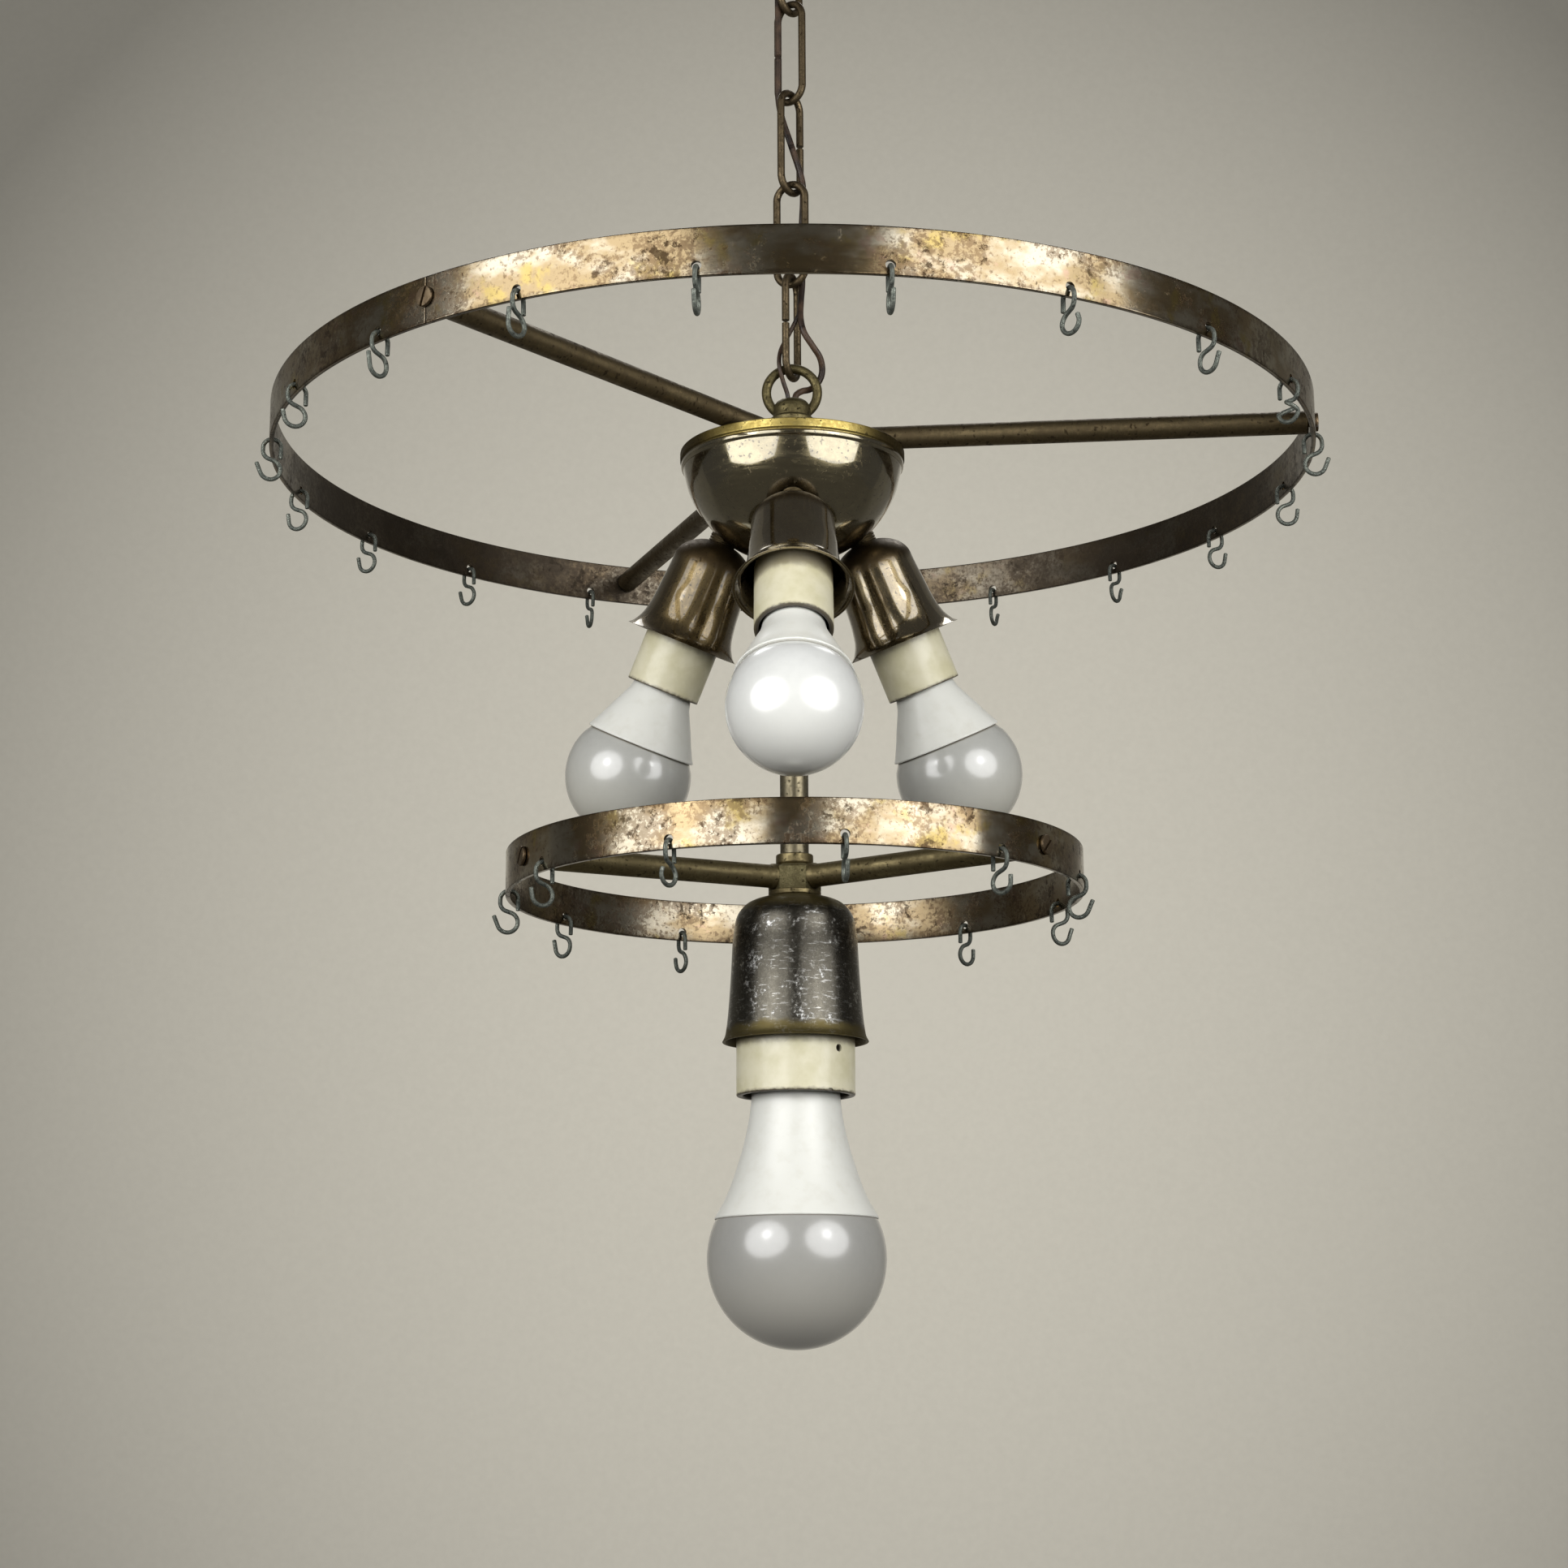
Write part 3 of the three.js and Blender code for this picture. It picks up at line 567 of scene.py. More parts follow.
zinc = {
    "tones": [(94, 98, 92), (118, 122, 113), (176, 180, 170), (54, 55, 52)],
    "patch": 4, "speck": 1, "scratch": 0.6, "drawn": (1, 1, 5), "worn": (0.42, 0.6), "rubbed": (0.52, 0.64),
    "rough": (0.38, 0.52), "metal": 0.9, "relief": 0.05,
}
makeChain()
eyeFinish = agedMetal("eyeBrass", hubEye["finish"], 0.7)
makeEye("hub_eye", "lamp_frame", atLamp @ moved(0, 0, hubEye["seat"]), hubEye["stem"], eyeFinish)
makeCeilingFitting()
zincFinish = agedMetal("zincWire", zinc)
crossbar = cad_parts["ceiling_crossbar"].data
crossbar.materials.clear()
crossbar.materials.append(zincFinish)
print("chain and ceiling fitting made")

# The hub: a bowl with a stepped lip, its cover, and the rod with the collar that carries it.
hub = {
    "radius": 39,
    "wall": 1.2,
    "rim": 6.3,
    "nippleHole": 5.5,
    "rodHole": 5.2,
    "coverEdge": 36.4,
    "finish": {
        "tones": [(126, 116, 88), (140, 130, 100), (156, 147, 116), (92, 82, 60)],
        "patch": 16, "speck": 1.5, "scratch": 1.1, "drawn": (9, 9, 1), "rubbed": (0.58, 0.72), "rubs": 0.4,
        "rough": (0.07, 0.13), "relief": 0.01, "lacquer": 1.9,
    },
    "lip": {
        "tones": [(166, 146, 82), (190, 170, 100), (210, 192, 124), (46, 37, 24)],
        "patch": 9, "speck": 1.3, "drawn": (9, 9, 1), "worn": (0.38, 0.6), "rubbed": (0.5, 0.64),
        # painted shade: the lip is darkened and dulled towards its sides
        "rough": (0.2, 0.34), "relief": 0.03, "tarnish_and_painted_shade": ((1, 0, 0), 17, 33),
    },
}
rod = {
    "radius": 4.9,
    "bore": 3.4,
    "top": 12,
    "bottom": -140.6,
    "collar": 8,
    "collarTop": -33.0,
    "collarHeight": 3,
    "finish": {
        "tones": [(104, 97, 79), (118, 110, 90), (150, 142, 120), (74, 66, 50)],
        "patch": 9, "speck": 1.4, "scratch": 0.9, "drawn": (1, 1, 9), "rubs": 0.5, "rough": (0.22, 0.34),
        "relief": 0.04,
    },
}
sockets = {"tilt": 26, "reach": 68.3, "height": -102.3}


# A point on a socket's axis, at a distance above the middle of its globe.
def alongSocket(direction, distance):
    tilt = radians(sockets["tilt"])
    outwards = sockets["reach"] - distance * sin(tilt)
    return onSpoke(direction, outwards, sockets["height"] + distance * cos(tilt))


def makeHub():
    radius, wall, rim = hub["radius"], hub["wall"], hub["rim"]
    finish, lipFinish = agedMetal("bowlBrass", hub["finish"]), agedMetal("lipBrass", hub["lip"])
    floor = rim - radius
    ball = arc(0, rim, radius, -19, -82.3, 30)
    inner = arc(0, rim, radius - wall, -82, -19, 30)
    lip = [(radius - wall, rim), (radius + 0.6, rim), (radius + 0.6, rim - 3.1), (radius + 0.05, rim - 3.5)]
    lip += [(radius + 0.05, rim - 3.9), (radius + 0.3, rim - 4.2), (radius + 0.2, rim - 5.4)]
    lip.append((radius - 0.5, rim - 5.9))
    holes = [(hub["rodHole"], floor + 0.3), (hub["rodHole"], floor + wall + 0.3)]
    shell = turned("bowl", lip + ball + holes + inner, 0.3, 128, finish)
    shell.data.materials.append(lipFinish)
    for face in shell.data.polygons:
        if face.center.z > (rim - 3.7) * mm and face.center.xy.length > (radius - wall) * mm:
            face.material_index = 1
    ways = [(alongSocket(d, 80), alongSocket(d, 110)) for d in thirds]
    cutOut(shell, [drills(ways, hub["nippleHole"], 32)])
    dressed(shell, "hub_bowl")
    edge, top, hole = hub["coverEdge"], rim - 1.2, hub["rodHole"]
    cover = [(hole, top - 1), (edge - 1, top - 1), (edge - 1, top - 3), (edge, top - 3), (edge, top)]
    cover += [(edge - 8, top), (hole, top)]
    dressed(turned("bowl_cover", cover, 0.4, 96, finish), "hub_cover")


def makeRod():
    radius, bore, collar, seat = (rod[k] for k in ("radius", "bore", "collar", "collarTop"))
    under = seat - rod["collarHeight"]
    profile = [(bore, rod["bottom"]), (radius, rod["bottom"]), (radius, under - 1), (collar - 0.6, under)]
    profile += [(collar, seat - 1.6), (collar, seat), (radius, seat)]
    profile += [(radius, rod["top"]), (bore, rod["top"])]
    finish = agedMetal("rodBrass", rod["finish"], 0.5)
    dressed(turned("rod", profile, 0.3, 56, finish), "centre_rod")


makeHub()
makeRod()
print("hub made")

# The two hoops: flat brass bands on edge, with a row of small holes along the lower edge.
hoops = {
    "upper": {
        "radius": 182, "wall": 1.6, "height": 15.3, "bottom": 0, "hooks": 20, "flats": 60,
        "arms": 82, "screwHeight": 8.5, "hubHeight": 11.1, "boss": 11, "seam": 322, "dull": 1,
    },
    "lower": {
        "radius": 98.5, "wall": 1.6, "height": 14.8, "bottom": -153.1, "hooks": 11, "flats": 44,
        "arms": 55, "screwHeight": -145.7, "hubHeight": -145.9, "boss": 5.4, "seam": 175, "dull": 0.3,
    },
}
band = {
    "firstHook": 9,
    "hole": 1.6,
    "holeRise": 3.2,
    "screwHole": 2.1,
    "gold": tone(138, 121, 92),
    "cream": tone(168, 160, 142),
    "honey": tone(156, 138, 82),
    "rose": tone(152, 126, 110),
    "brown": tone(90, 70, 50),
    "umber": tone(56, 42, 28),
    "moss": tone(78, 68, 44),
    "inside": tone(72, 64, 54),
    # edge: painted shade along the band's top and bottom edges, and the dark joint at the seam
    "edge": tone(58, 45, 32),
}


def hookDirections(hoop):
    return [band["firstHook"] + 360 * i / hoop["hooks"] for i in range(hoop["hooks"])]


def bandFinish(name, hoop, shift):
    paint = Paint(name, shift)
    wallStart, wallEnd = (hoop["radius"] - hoop["wall"] * share for share in (0.7, 0.3))
    clouds = paint.noise(24, 4, 0.6, (1, 1, 0.6)).between(0.42, 0.6)
    honey = paint.noise(13, 4, 0.6).between(0.56, 0.68)
    rose = paint.noise(8, 4, 0.65).between(0.58, 0.7)
    crumbs = paint.noise(1.5, 6, 0.7)
    clusters = paint.noise(17, 4, 0.6).between(0.38, 0.62)
    mottles = (crumbs + clusters * 0.17).between(0.55, 0.66)
    spots = (paint.noise(3.4, 7, 0.75) + clusters * 0.12).between(0.63, 0.7)
    tarnish_and_painted_shade = paint.noise(52, 5, 0.62).between(0.5, 0.68)
    fromMiddle = abs(paint.along("Z") - (hoop["bottom"] + hoop["height"] / 2))
    # Painted shade: the band's top and bottom edges are darkened towards the edge tone.
    rim = (fromMiddle + (crumbs - 0.5) * 4).between(hoop["height"] * 0.4, hoop["height"] * 0.52)
    dull = (paint.noise(20, 6, 0.7) * 0.7 + crumbs * 0.3).between(0.36, 0.6)
    inside = (1 - paint.outwards().between(wallStart, wallEnd)) * (0.7 + 0.3 * dull) * hoop["dull"]
    joint = onSpoke(hoop["seam"], 1, 0)  # the band's two ends butt here
    aside = abs(paint.across((-joint.y, joint.x, 0)))
    seam = (1 - aside.between(0.15, 0.45)) * paint.across(joint).between(0, 1)
    colour = paint.layered(
        band, "gold", (clouds, "cream"), (honey * 0.8, "honey"), (rose * 0.6, "rose"),
        (mottles * 0.62, "brown"), (spots * 0.8, "umber"), (tarnish_and_painted_shade * 0.5, "moss"), (rim * 0.65, "edge"),
        (inside, "inside"), (seam * 0.85, "edge"))
    drawn = paint.noise(0.9, 3, 0.6, (9, 9, 1))
    rough = 0.12 + mottles * 0.08 + spots * 0.16 + tarnish_and_painted_shade * 0.06 + drawn * 0.06 + inside * 0.2
    shader = {"Base Color": colour, "Metallic": 1.0, "Roughness": rough}
    shader["Normal"] = paint.bump(crumbs * 0.5 - spots * 0.5 + drawn * 0.3 - seam * 3, 0.025, 0.7)
    return paint.finish(shader)


def makeHoop(name, hoop, shift):
    inner, outer = hoop["radius"] - hoop["wall"], hoop["radius"]
    low, high = hoop["bottom"], hoop["bottom"] + hoop["height"]
    section = [(inner, low), (outer, low), (outer, high), (inner, high)]
    ring = turned(f"{name}_band", section, 0.3, 360, bandFinish(f"{name}BandBrass", hoop, shift))

    def holesAt(directions, height):
        return [(onSpoke(d, inner - 3, height), onSpoke(d, outer + 3, height)) for d in directions]

    holes = holesAt(hookDirections(hoop), low + band["holeRise"])
    screws = holesAt([hoop["arms"] + turn for turn in thirds], hoop["screwHeight"])
    cutOut(ring, [drills(holes, band["hole"]), drills(screws, band["screwHole"])])
    dressed(ring, f"{name}_hoop")


# The arms run from a turned boss to the hoop, where a slotted screw holds it to each end.
arms = {
    "tube": 8,
    "neck": 0.5,
    "screwShank": 1.6,
    "screwHead": 3.3,
    "headRise": 1.1,
    "slot": 0.95,
    "upper": {
        "tones": [(86, 75, 55), (102, 90, 66), (136, 121, 88), (48, 39, 27)],
        "patch": 13, "speck": 1.8, "scratch": 1, "drawn": (5, 5, 1), "worn": (0.42, 0.62),
        "rubbed": (0.56, 0.68), "rubs": 0.55,
    },
    "lower": {
        "tones": [(100, 90, 64), (120, 109, 79), (156, 142, 104), (54, 46, 32)],
        "patch": 10, "speck": 1.6, "scratch": 1, "drawn": (5, 5, 1), "worn": (0.4, 0.6),
        "rubbed": (0.56, 0.7), "rubs": 0.5,
    },
}
screwBrass = {
    "tones": [(96, 82, 64), (112, 97, 77), (142, 126, 102), (46, 38, 28)],
    "patch": 3, "speck": 0.8, "scratch": 0.5, "worn": (0.4, 0.6), "rubbed": (0.52, 0.66),
    "rough": (0.26, 0.4), "relief": 0.04,
}


def makeArms(name, hoop, bossProfile, shift):
    finish = agedMetal(f"{name}ArmBrass", arms[name], shift)
    node = f"{name}_arms"
    dressed(turned(f"{name}_boss", bossProfile, 0.5, 64, finish), node)
    headFinish = agedMetal(f"{name}ScrewBrass", screwBrass, shift)
    inner = (hoop["radius"] - hoop["wall"]) * cos(pi / hoop["flats"]) - 0.3
    for i, direction in enumerate(hoop["arms"] + turn for turn in thirds):
        start = onSpoke(direction, hoop["boss"] - 1.2, hoop["hubHeight"])
        end = onSpoke(direction, inner, hoop["screwHeight"])
        reach = [0, (5 - 0.8) / inner, 5 / inner, 5.6 / inner, 1 - 0.4 / inner, 1]
        grown = [arms["neck"], arms["neck"], arms["neck"] * 0.7, 0, 0, -0.3]
        rings = ringsAlong([start.lerp(end, t) for t in reach], [arms["tube"] / 2 + g for g in grown], 28)
        dressed(skinned(f"{name}_arm_{i + 1}", rings, finish), node)
        makeScrew(f"{name}_screw_{i + 1}", hoop, direction, headFinish, node)


def makeScrew(name, hoop, direction, finish, node):
    head, rise, shank = arms["screwHead"], arms["headRise"], arms["screwShank"]
    edge = 0.45
    dome = [(head * (1 - t * t * 0.1), edge + (rise - edge) * t) for t in (0, 0.5, 0.8)]
    dome.append((head * 0.78, rise * 0.96))
    profile = [(0, -3.4), (shank, -3.4), (shank, 0), (head - 0.1, 0), *dome, (0, rise)]
    facing = Matrix.Rotation(radians(90), 4, "X")  # the head's axis points along -Y, away from the lamp
    seat = moved(0, -(hoop["radius"] + 0.2), hoop["screwHeight"])
    twist = Matrix.Rotation(radians(random.uniform(20, 75)), 4, "Z")
    place = turnedBy(direction) @ seat @ facing @ twist
    screw = spun(name, profile, 40, finish, place=place)
    half = arms["slot"] / 2
    corners = [(x, y, z) for x in (-4, 4) for y in (-half, half) for z in (0.15, rise + 1)]
    sides = [(0, 1, 3, 2), (4, 6, 7, 5), (0, 4, 5, 1), (2, 3, 7, 6), (0, 2, 6, 4), (1, 5, 7, 3)]
    cutOut(screw, [madePiece("slotCutter", corners, sides, None, place)])
    dressed(screw, node)


upperBoss = [(5.4, 6.6), (9.4, 6.6), (11, 8.2), (11, 14.4), (8.6, 16.4), (5.4, 16.4)]
lowerBoss = [
    (5.2, -152.5), (9, -152.5), (9, -150.5), (5.4, -150.5), (5.4, -141.9), (6.4, -141.2), (6.4, -137.9),
    (5.1, -137.9), (5.1, -140.9), (3.2, -141), (3.2, -151.3), (5.1, -151.3),
]
block = {
    "across": 15.6,
    "bottom": -151.3,
    "top": -141.6,
    "turn": -5,
    "finish": {
        "tones": [(108, 100, 72), (128, 120, 88), (152, 144, 108), (64, 56, 38)],
        "patch": 4, "speck": 1, "rough": (0.4, 0.55), "relief": 0.08,
    },
}


# The arms of the lower hoop enter a block that shows a flat face to the front.
def makeBlock():
    corner = block["across"] / 2 / cos(pi / 6)
    low, high = block["bottom"], block["top"]
    profile = [(5.3, low), (corner - 0.6, low), (corner, low + 0.7)]
    profile += [(corner, high - 1.3), (corner - 2.2, high), (5.3, high)]
    finish = agedMetal("blockBrass", block["finish"], 2.1)
    made = spun("lower_block", profile, 6, finish, loop=True, place=turnedBy(block["turn"]))
    dressed(made, "lower_arms")


makeBlock()
makeHoop("upper", hoops["upper"], 0.2)
makeHoop("lower", hoops["lower"], 1.3)
makeArms("upper", hoops["upper"], upperBoss, 0.4)
makeArms("lower", hoops["lower"], lowerBoss, 1.7)
print("hoops and arms made")

# Sockets: spun cups with domed tops, cream lampholders and opal bulbs.
smallCup = {
    "flare": [
        (20.65, 51.3), (19.2, 52.5), (18, 54.3), (16.9, 56.6), (16.3, 58.8), (15.5, 64), (15.1, 69.3),
        (14.6, 75),
    ],
    "shoulder": 14.3,
    "domeBase": 79.8,
    "dome": 10,
    "wall": 1,
    "hole": 5.2,
    "finish": {
        "tones": [(120, 106, 78), (138, 125, 94), (166, 153, 118), (72, 60, 42)],
        "patch": 11, "speck": 1.2, "scratch": 1, "drawn": (1, 1, 8), "worn": (0.42, 0.64),
        "rubbed": (0.58, 0.7), "rubs": 0.5, "rough": (0.08, 0.16), "relief": 0.012, "lacquer": 1.8,
        # painted shade: the dome at the top is darkened and dulled
        "tarnish_and_painted_shade": ((0, 0, 1), 77.5, 81.5),
    },
    "duller": {
        "tones": [(98, 84, 56), (116, 100, 68), (158, 142, 100), (72, 60, 42)],
        "rough": (0.13, 0.26), "lacquer": 1.5,
    },
}
smallHolder = {
    "radius": 13.25, "mouth": 32.8, "inside": 11.7, "body": 11.6, "nipple": 4.9, "bore": 3.2, "nut": 7.2,
}
smallBulb = {
    "radius": 22.5,
    "glassEnd": (24, 40),  # degrees above the globe's middle, and steps
    "neck": (18.6, 12.2),
    "housing": [
        (18.4, 12.1), (19.75, 12.1), (19.9, 12.6), (19.2, 13.6), (17, 18), (15, 22.5), (13, 26.6),
        (11.5, 29.8), (10.8, 32.6), (10.5, 35), (10, 35.6), (6.9, 35.6),
    ],
    "soft": 0.3,
    "cap": (6.9, 35.6, 52, 55.5),
    "sides": (72, 64, 40),
}
largeCup = {
    "flare": [
        (24.9, -202.3), (23.95, -200.4), (23.5, -198.1), (22.9, -193), (22.5, -188.3), (21.8, -178),
        (21.3, -168.3), (20.9, -164.4), (20.5, -161.8), (19.6, -158.9), (18.2, -156.8), (16.3, -155),
        (13.8, -153.8), (11.6, -153.1),
    ],
    "top": -152.8,
    "wall": 1,
    "hole": 5.2,
    "finish": {
        "dark": tone(74, 71, 64), "middle": tone(88, 85, 77), "bright": tone(196, 196, 194),
        "olive": tone(98, 87, 50), "patch": 6, "rubbed": (0.54, 0.64), "rubs": 0.8,
    },
}
largeHolder = {"radius": 20.1, "mouth": -220.5, "inside": 17.9, "body": 18.4, "shoulder": -154.1}
largeBulb = {
    "middle": -274.5,
    "radius": 30,
    "glassEnd": (26, 48),
    "neck": (25.6, 14.2),
    "housing": [
        (26, 12.9), (27.3, 12.8), (27.5, 13.3), (25.9, 16.1), (24.6, 18.2), (22.4, 23), (20.5, 28.4),
        (18.4, 35), (16.9, 41), (15.7, 47), (15.1, 52), (14.9, 56.5), (14.2, 57.6), (13.2, 57.8),
    ],
    "soft": 0.4,
    "cap": (13.2, 57.8, 74.5, 79.5),
    "sides": (96, 80, 48),
}
cream = {
    "fresh": tone(232, 226, 197),
    "yellowed": tone(210, 203, 162),
    # darker end bands on the holders, partly painted shade under the cup's lip, and the painted shade line
    # round the globes' tops
    "end_band_and_line_shade": tone(84, 66, 42),
    # painted shade inside the holders, also used for the dark line at their mouths
    "mouth_line_and_recess_shade": tone(44, 34, 24),
}
bulb = {
    "housing": tone(238, 238, 230),
    "shade": tone(222, 220, 208),
    # one frosted glass: a lighter, lit copy for the front globe and a darker, shaded copy for the side
    # globes
    "frontGlobeLit": tone(226, 227, 224),
    "sideGlobeShaded": tone(190, 190, 184),
    "largeGlobe": tone(167, 166, 161),
    "cap": tone(150, 148, 140),
    "grime": tone(96, 92, 84),
    "spread": 0.06,  # light that the large globe carries inside itself
}


def creamFinish(name, low, high, outer):
    paint = Paint(name)
    stains = paint.noise(9, 4).between(0.35, 0.7)
    height = paint.along("Z") + (paint.noise(2.4, 5) - 0.5) * 2.2
    # Darker bands at both ends: painted shade just under the cup's lip at the top end, and a darker band at
    # the mouth.
    rims = (1 - height.between(low, low + 1.5)) + height.between(high - 3, high)
    # Painted shade inside the hollow holder. Below it, a dark line at the mouth's lower edge.
    inside_shade = 1 - (paint.outwards() + (paint.noise(2, 3) - 0.5) * 0.5).between(outer - 1.2, outer - 0.4)
    mouth = 1 - (paint.along("Z") + (paint.noise(1.2, 4) - 0.5) * 0.9).between(low + 0.2, low + 0.8)
    return paint.finish({
        "Base Color": paint.layered(
            cream, "fresh", (stains * 0.7, "yellowed"), (rims * 0.6, "end_band_and_line_shade"), (inside_shade * 0.9, "mouth_line_and_recess_shade"),
            (mouth * 0.8, "mouth_line_and_recess_shade")),
        "Roughness": 0.3 + 0.2 * stains,
        "Coat Weight": 0.25,
        "Normal": paint.bump(paint.noise(1.6, 3), 0.02),
    })


def whiteFinish(name):
    paint = Paint(name)
    dust = paint.noise(5, 5).between(0.45, 0.8)
    return paint.finish({
        "Base Color": paint.mixed(dust * 0.5, bulb["housing"], bulb["shade"]),
        "Roughness": 0.28 + 0.1 * dust,
        "Normal": paint.bump(paint.noise(1.5, 2), 0.01),
    })


# Frosted glass with painted light and shade: a lighter, warmer lower half, a dark shade line where it enters
# the housing at the height edge, and a painted glow where spread is given.
def globeFinish(name, colour, edge, spread=0):
    paint = Paint(name)
    frost = paint.noise(3, 3).between(0.3, 0.8)
    darker = (*[c * 0.9 for c in colour[:3]], 1)
    # Painted light: the lower half is lighter and warmer than the rest of the glass.
    lit_lower_tone = (*[min(1, c * w) for c, w in zip(colour, (1.4, 1.36, 1.25))], 1)
    height = paint.along("Z")
    low = 1 - height.between(-32, 8)
    glass = paint.mixed(low, paint.mixed(frost * 0.5, colour, darker), lit_lower_tone)
    # Painted shade: a dark line where the glass enters the housing.
    line = height.between(edge - 0.9, edge - 0.2)
    # Painted glow, stronger on the lower half, though the bulb is not lit.
    glow = (spread, spread * 0.98, spread * 0.93, 1)
    return paint.finish({
        "Base Color": paint.mixed(line * 0.8, glass, cream["end_band_and_line_shade"]),
        "Roughness": 0.3 + 0.06 * frost,
        "Coat Weight": 1.0,
        "Coat IOR": 1.8,
        "Coat Roughness": 0.17,
        "Emission Color": paint.mixed(low * 0.6 + 0.4, black, glow),
        "Emission Strength": 1.0,
        "Normal": paint.bump(paint.noise(0.8, 2), 0.012),
    })


def capFinish():
    paint = Paint("capTin")
    grime = paint.noise(4, 4).between(0.4, 0.7)
    colour = paint.mixed(grime, bulb["cap"], bulb["grime"])
    return paint.finish({"Base Color": colour, "Metallic": 0.9, "Roughness": 0.32 + 0.15 * grime})


def cupProfile(flare, crown, wall):
    outside = [tuple(p) for p in curved(flare, 3)] + crown(0)
    inside = [tuple(p) for p in curved([(r - wall, z) for r, z in flare], 3)] + crown(wall)
    return outside + inside[::-1]


def smallCrown(inset):
    radius, height = smallCup["shoulder"] - inset, smallCup["dome"] - inset
    last = degrees(acos((smallCup["hole"] + 0.2) / radius))
    dome = [(radius * x, smallCup["domeBase"] + height * z) for x, z in arc(0, 0, 1, 0, last, 14)]
    return dome + [(smallCup["hole"], dome[-1][1] + 0.05)]


def largeCrown(inset):
    top = largeCup["top"] - inset
    return [(9.5, top), (largeCup["hole"], top)]


def makeSocket(i, direction):
    lean = Matrix.Rotation(radians(-sockets["tilt"]), 4, "X")
    place = turnedBy(direction) @ moved(0, -sockets["reach"], sockets["height"]) @ lean
    look = smallCup["finish"] | (smallCup["duller"] if i == 3 else {})
    cupFinish = agedMetal(f"cupBronze{i}", look, i * 0.37)
    profile = cupProfile(smallCup["flare"], smallCrown, smallCup["wall"])
    cup = turned(f"small_cup_{i}", profile, 0.3, 72, cupFinish, place)
    dressed(cup, f"upper_cup_{i}")
    node = f"upper_lampholder_{i}"
    radius, mouth, inside, body, nipple, bore, nut = smallHolder.values()
    holder = [
        (inside, mouth), (radius, mouth), (radius, 60), (body, 61.2), (body, 78), (nipple + 1.5, 82),
        (bore + 0.4, 82.2), (bore + 0.4, 79), (9.6, 76.5), (9.6, 60), (inside, 58.5),
    ]
    tube = turned(f"small_holder_{i}", holder, 0.5, 56, looks["cream"], place)
    dressed(tube, node)
    stem = [(bore, 79), (nipple, 79), *ribbed(nipple, 82.5, 98), (nipple - 0.3, 98.4), (bore, 98.4)]
    thread = spun(f"small_nipple_{i}", stem, 32, looks["nipple"], True, place)
    dressed(thread, node)
    sixSided = [(nipple + 0.05, 98.4), (nut, 98.4), (nut, 101.4), (nipple + 0.05, 101.4)]
    locknut = turned(f"small_nut_{i}", sixSided, 0.3, 6, looks["screw"], place)
    dressed(locknut, node)
    # Painted light: the front globe takes the lit copy of the glass, the side globes the shaded one.
    glass = looks["frontGlobeLit" if i == 1 else "sideGlobeShaded"]
    makeBulb(f"upper_bulb_{i}", "small", f"_{i}", smallBulb, glass, place)


# A bulb's globe, housing and cap, drawn from the middle of its globe.
def makeBulb(node, size, number, shape, glass, place):
    radius, sides = shape["radius"], shape["sides"]
    globe = [(0, -radius)] + arc(0, 0, radius, -89, *shape["glassEnd"]) + [shape["neck"]]
    housing = softened(shape["housing"], shape["soft"])
    for piece in (
            spun(f"{size}_globe{number}", globe, sides[0], glass, place=place),
            spun(f"{size}_housing{number}", housing, sides[1], looks["white"], place=place),
            spun(f"{size}_cap{number}", threaded(*shape["cap"]), sides[2], looks["cap"], place=place)):
        dressed(piece, node, node)


# The fine thread of a nipple, from one height up to another.
def ribbed(radius, low, high, pitch=1):
    steps = int((high - low) / pitch * 2)
    return [(radius - 0.25 * (k % 2), low + k * pitch / 2) for k in range(steps + 1)]


# A screw cap with rolled thread rings, and its solder contact on top.
def threaded(radius, low, high, top):
    pitch = 3.2
    groove = [(0.35, 0), (0.7, 1 / 6), (0.75, 0.4), (0, 0.75), (0.1, 0.95)]  # depth, at a share of the pitch
    count = int((high - low - 3) / pitch)
    profile = [(radius, low), (radius, low + 1)]
    for k in range(count):
        start = low + 1.5 + k * pitch
        profile += [(radius - depth, start + pitch * share) for depth, share in groove]
    profile += [(radius - 0.3, high), (radius * 0.55, high + (top - high) * 0.6)]
    return profile + [(radius * 0.35, top - 0.3), (0, top)]


def makeLargeSocket():
    profile = cupProfile(largeCup["flare"], largeCrown, largeCup["wall"])
    shell = turned("large_cup", profile, 0.3, 96, gunmetalFinish())
    dressed(shell, "lower_cup")
    radius, mouth, inside, body, top = largeHolder.values()
    holder = [
        (inside, mouth), (radius, mouth), (radius, mouth + 26), (body, mouth + 28), (body, top - 12),
        (8, top), (4.9, top), (4.9, top + 2.5), (3.2, top + 2.5), (3.2, top - 8), (15.4, top - 14),
        (15.4, mouth + 28), (inside, mouth + 26),
    ]
    tube = turned("large_holder", holder, 0.6, 80, creamFinish("creamLarge", mouth, -202, radius))
    vent = [(onSpoke(45.6, 14, -205.9), onSpoke(45.6, 24, -205.9))]  # the small hole beside the cup's lip
    chip = [(onSpoke(35, 19.4, mouth - 0.4), onSpoke(35, 24, mouth - 0.2))]
    cutOut(tube, [drills(vent, 1.3), drills(chip, 1.5, 7)])
    dressed(tube, "lower_lampholder")
    middle = atLamp @ moved(0, 0, largeBulb["middle"])
    makeBulb("lower_bulb", "large", "", largeBulb, looks["largeGlobe"], middle)


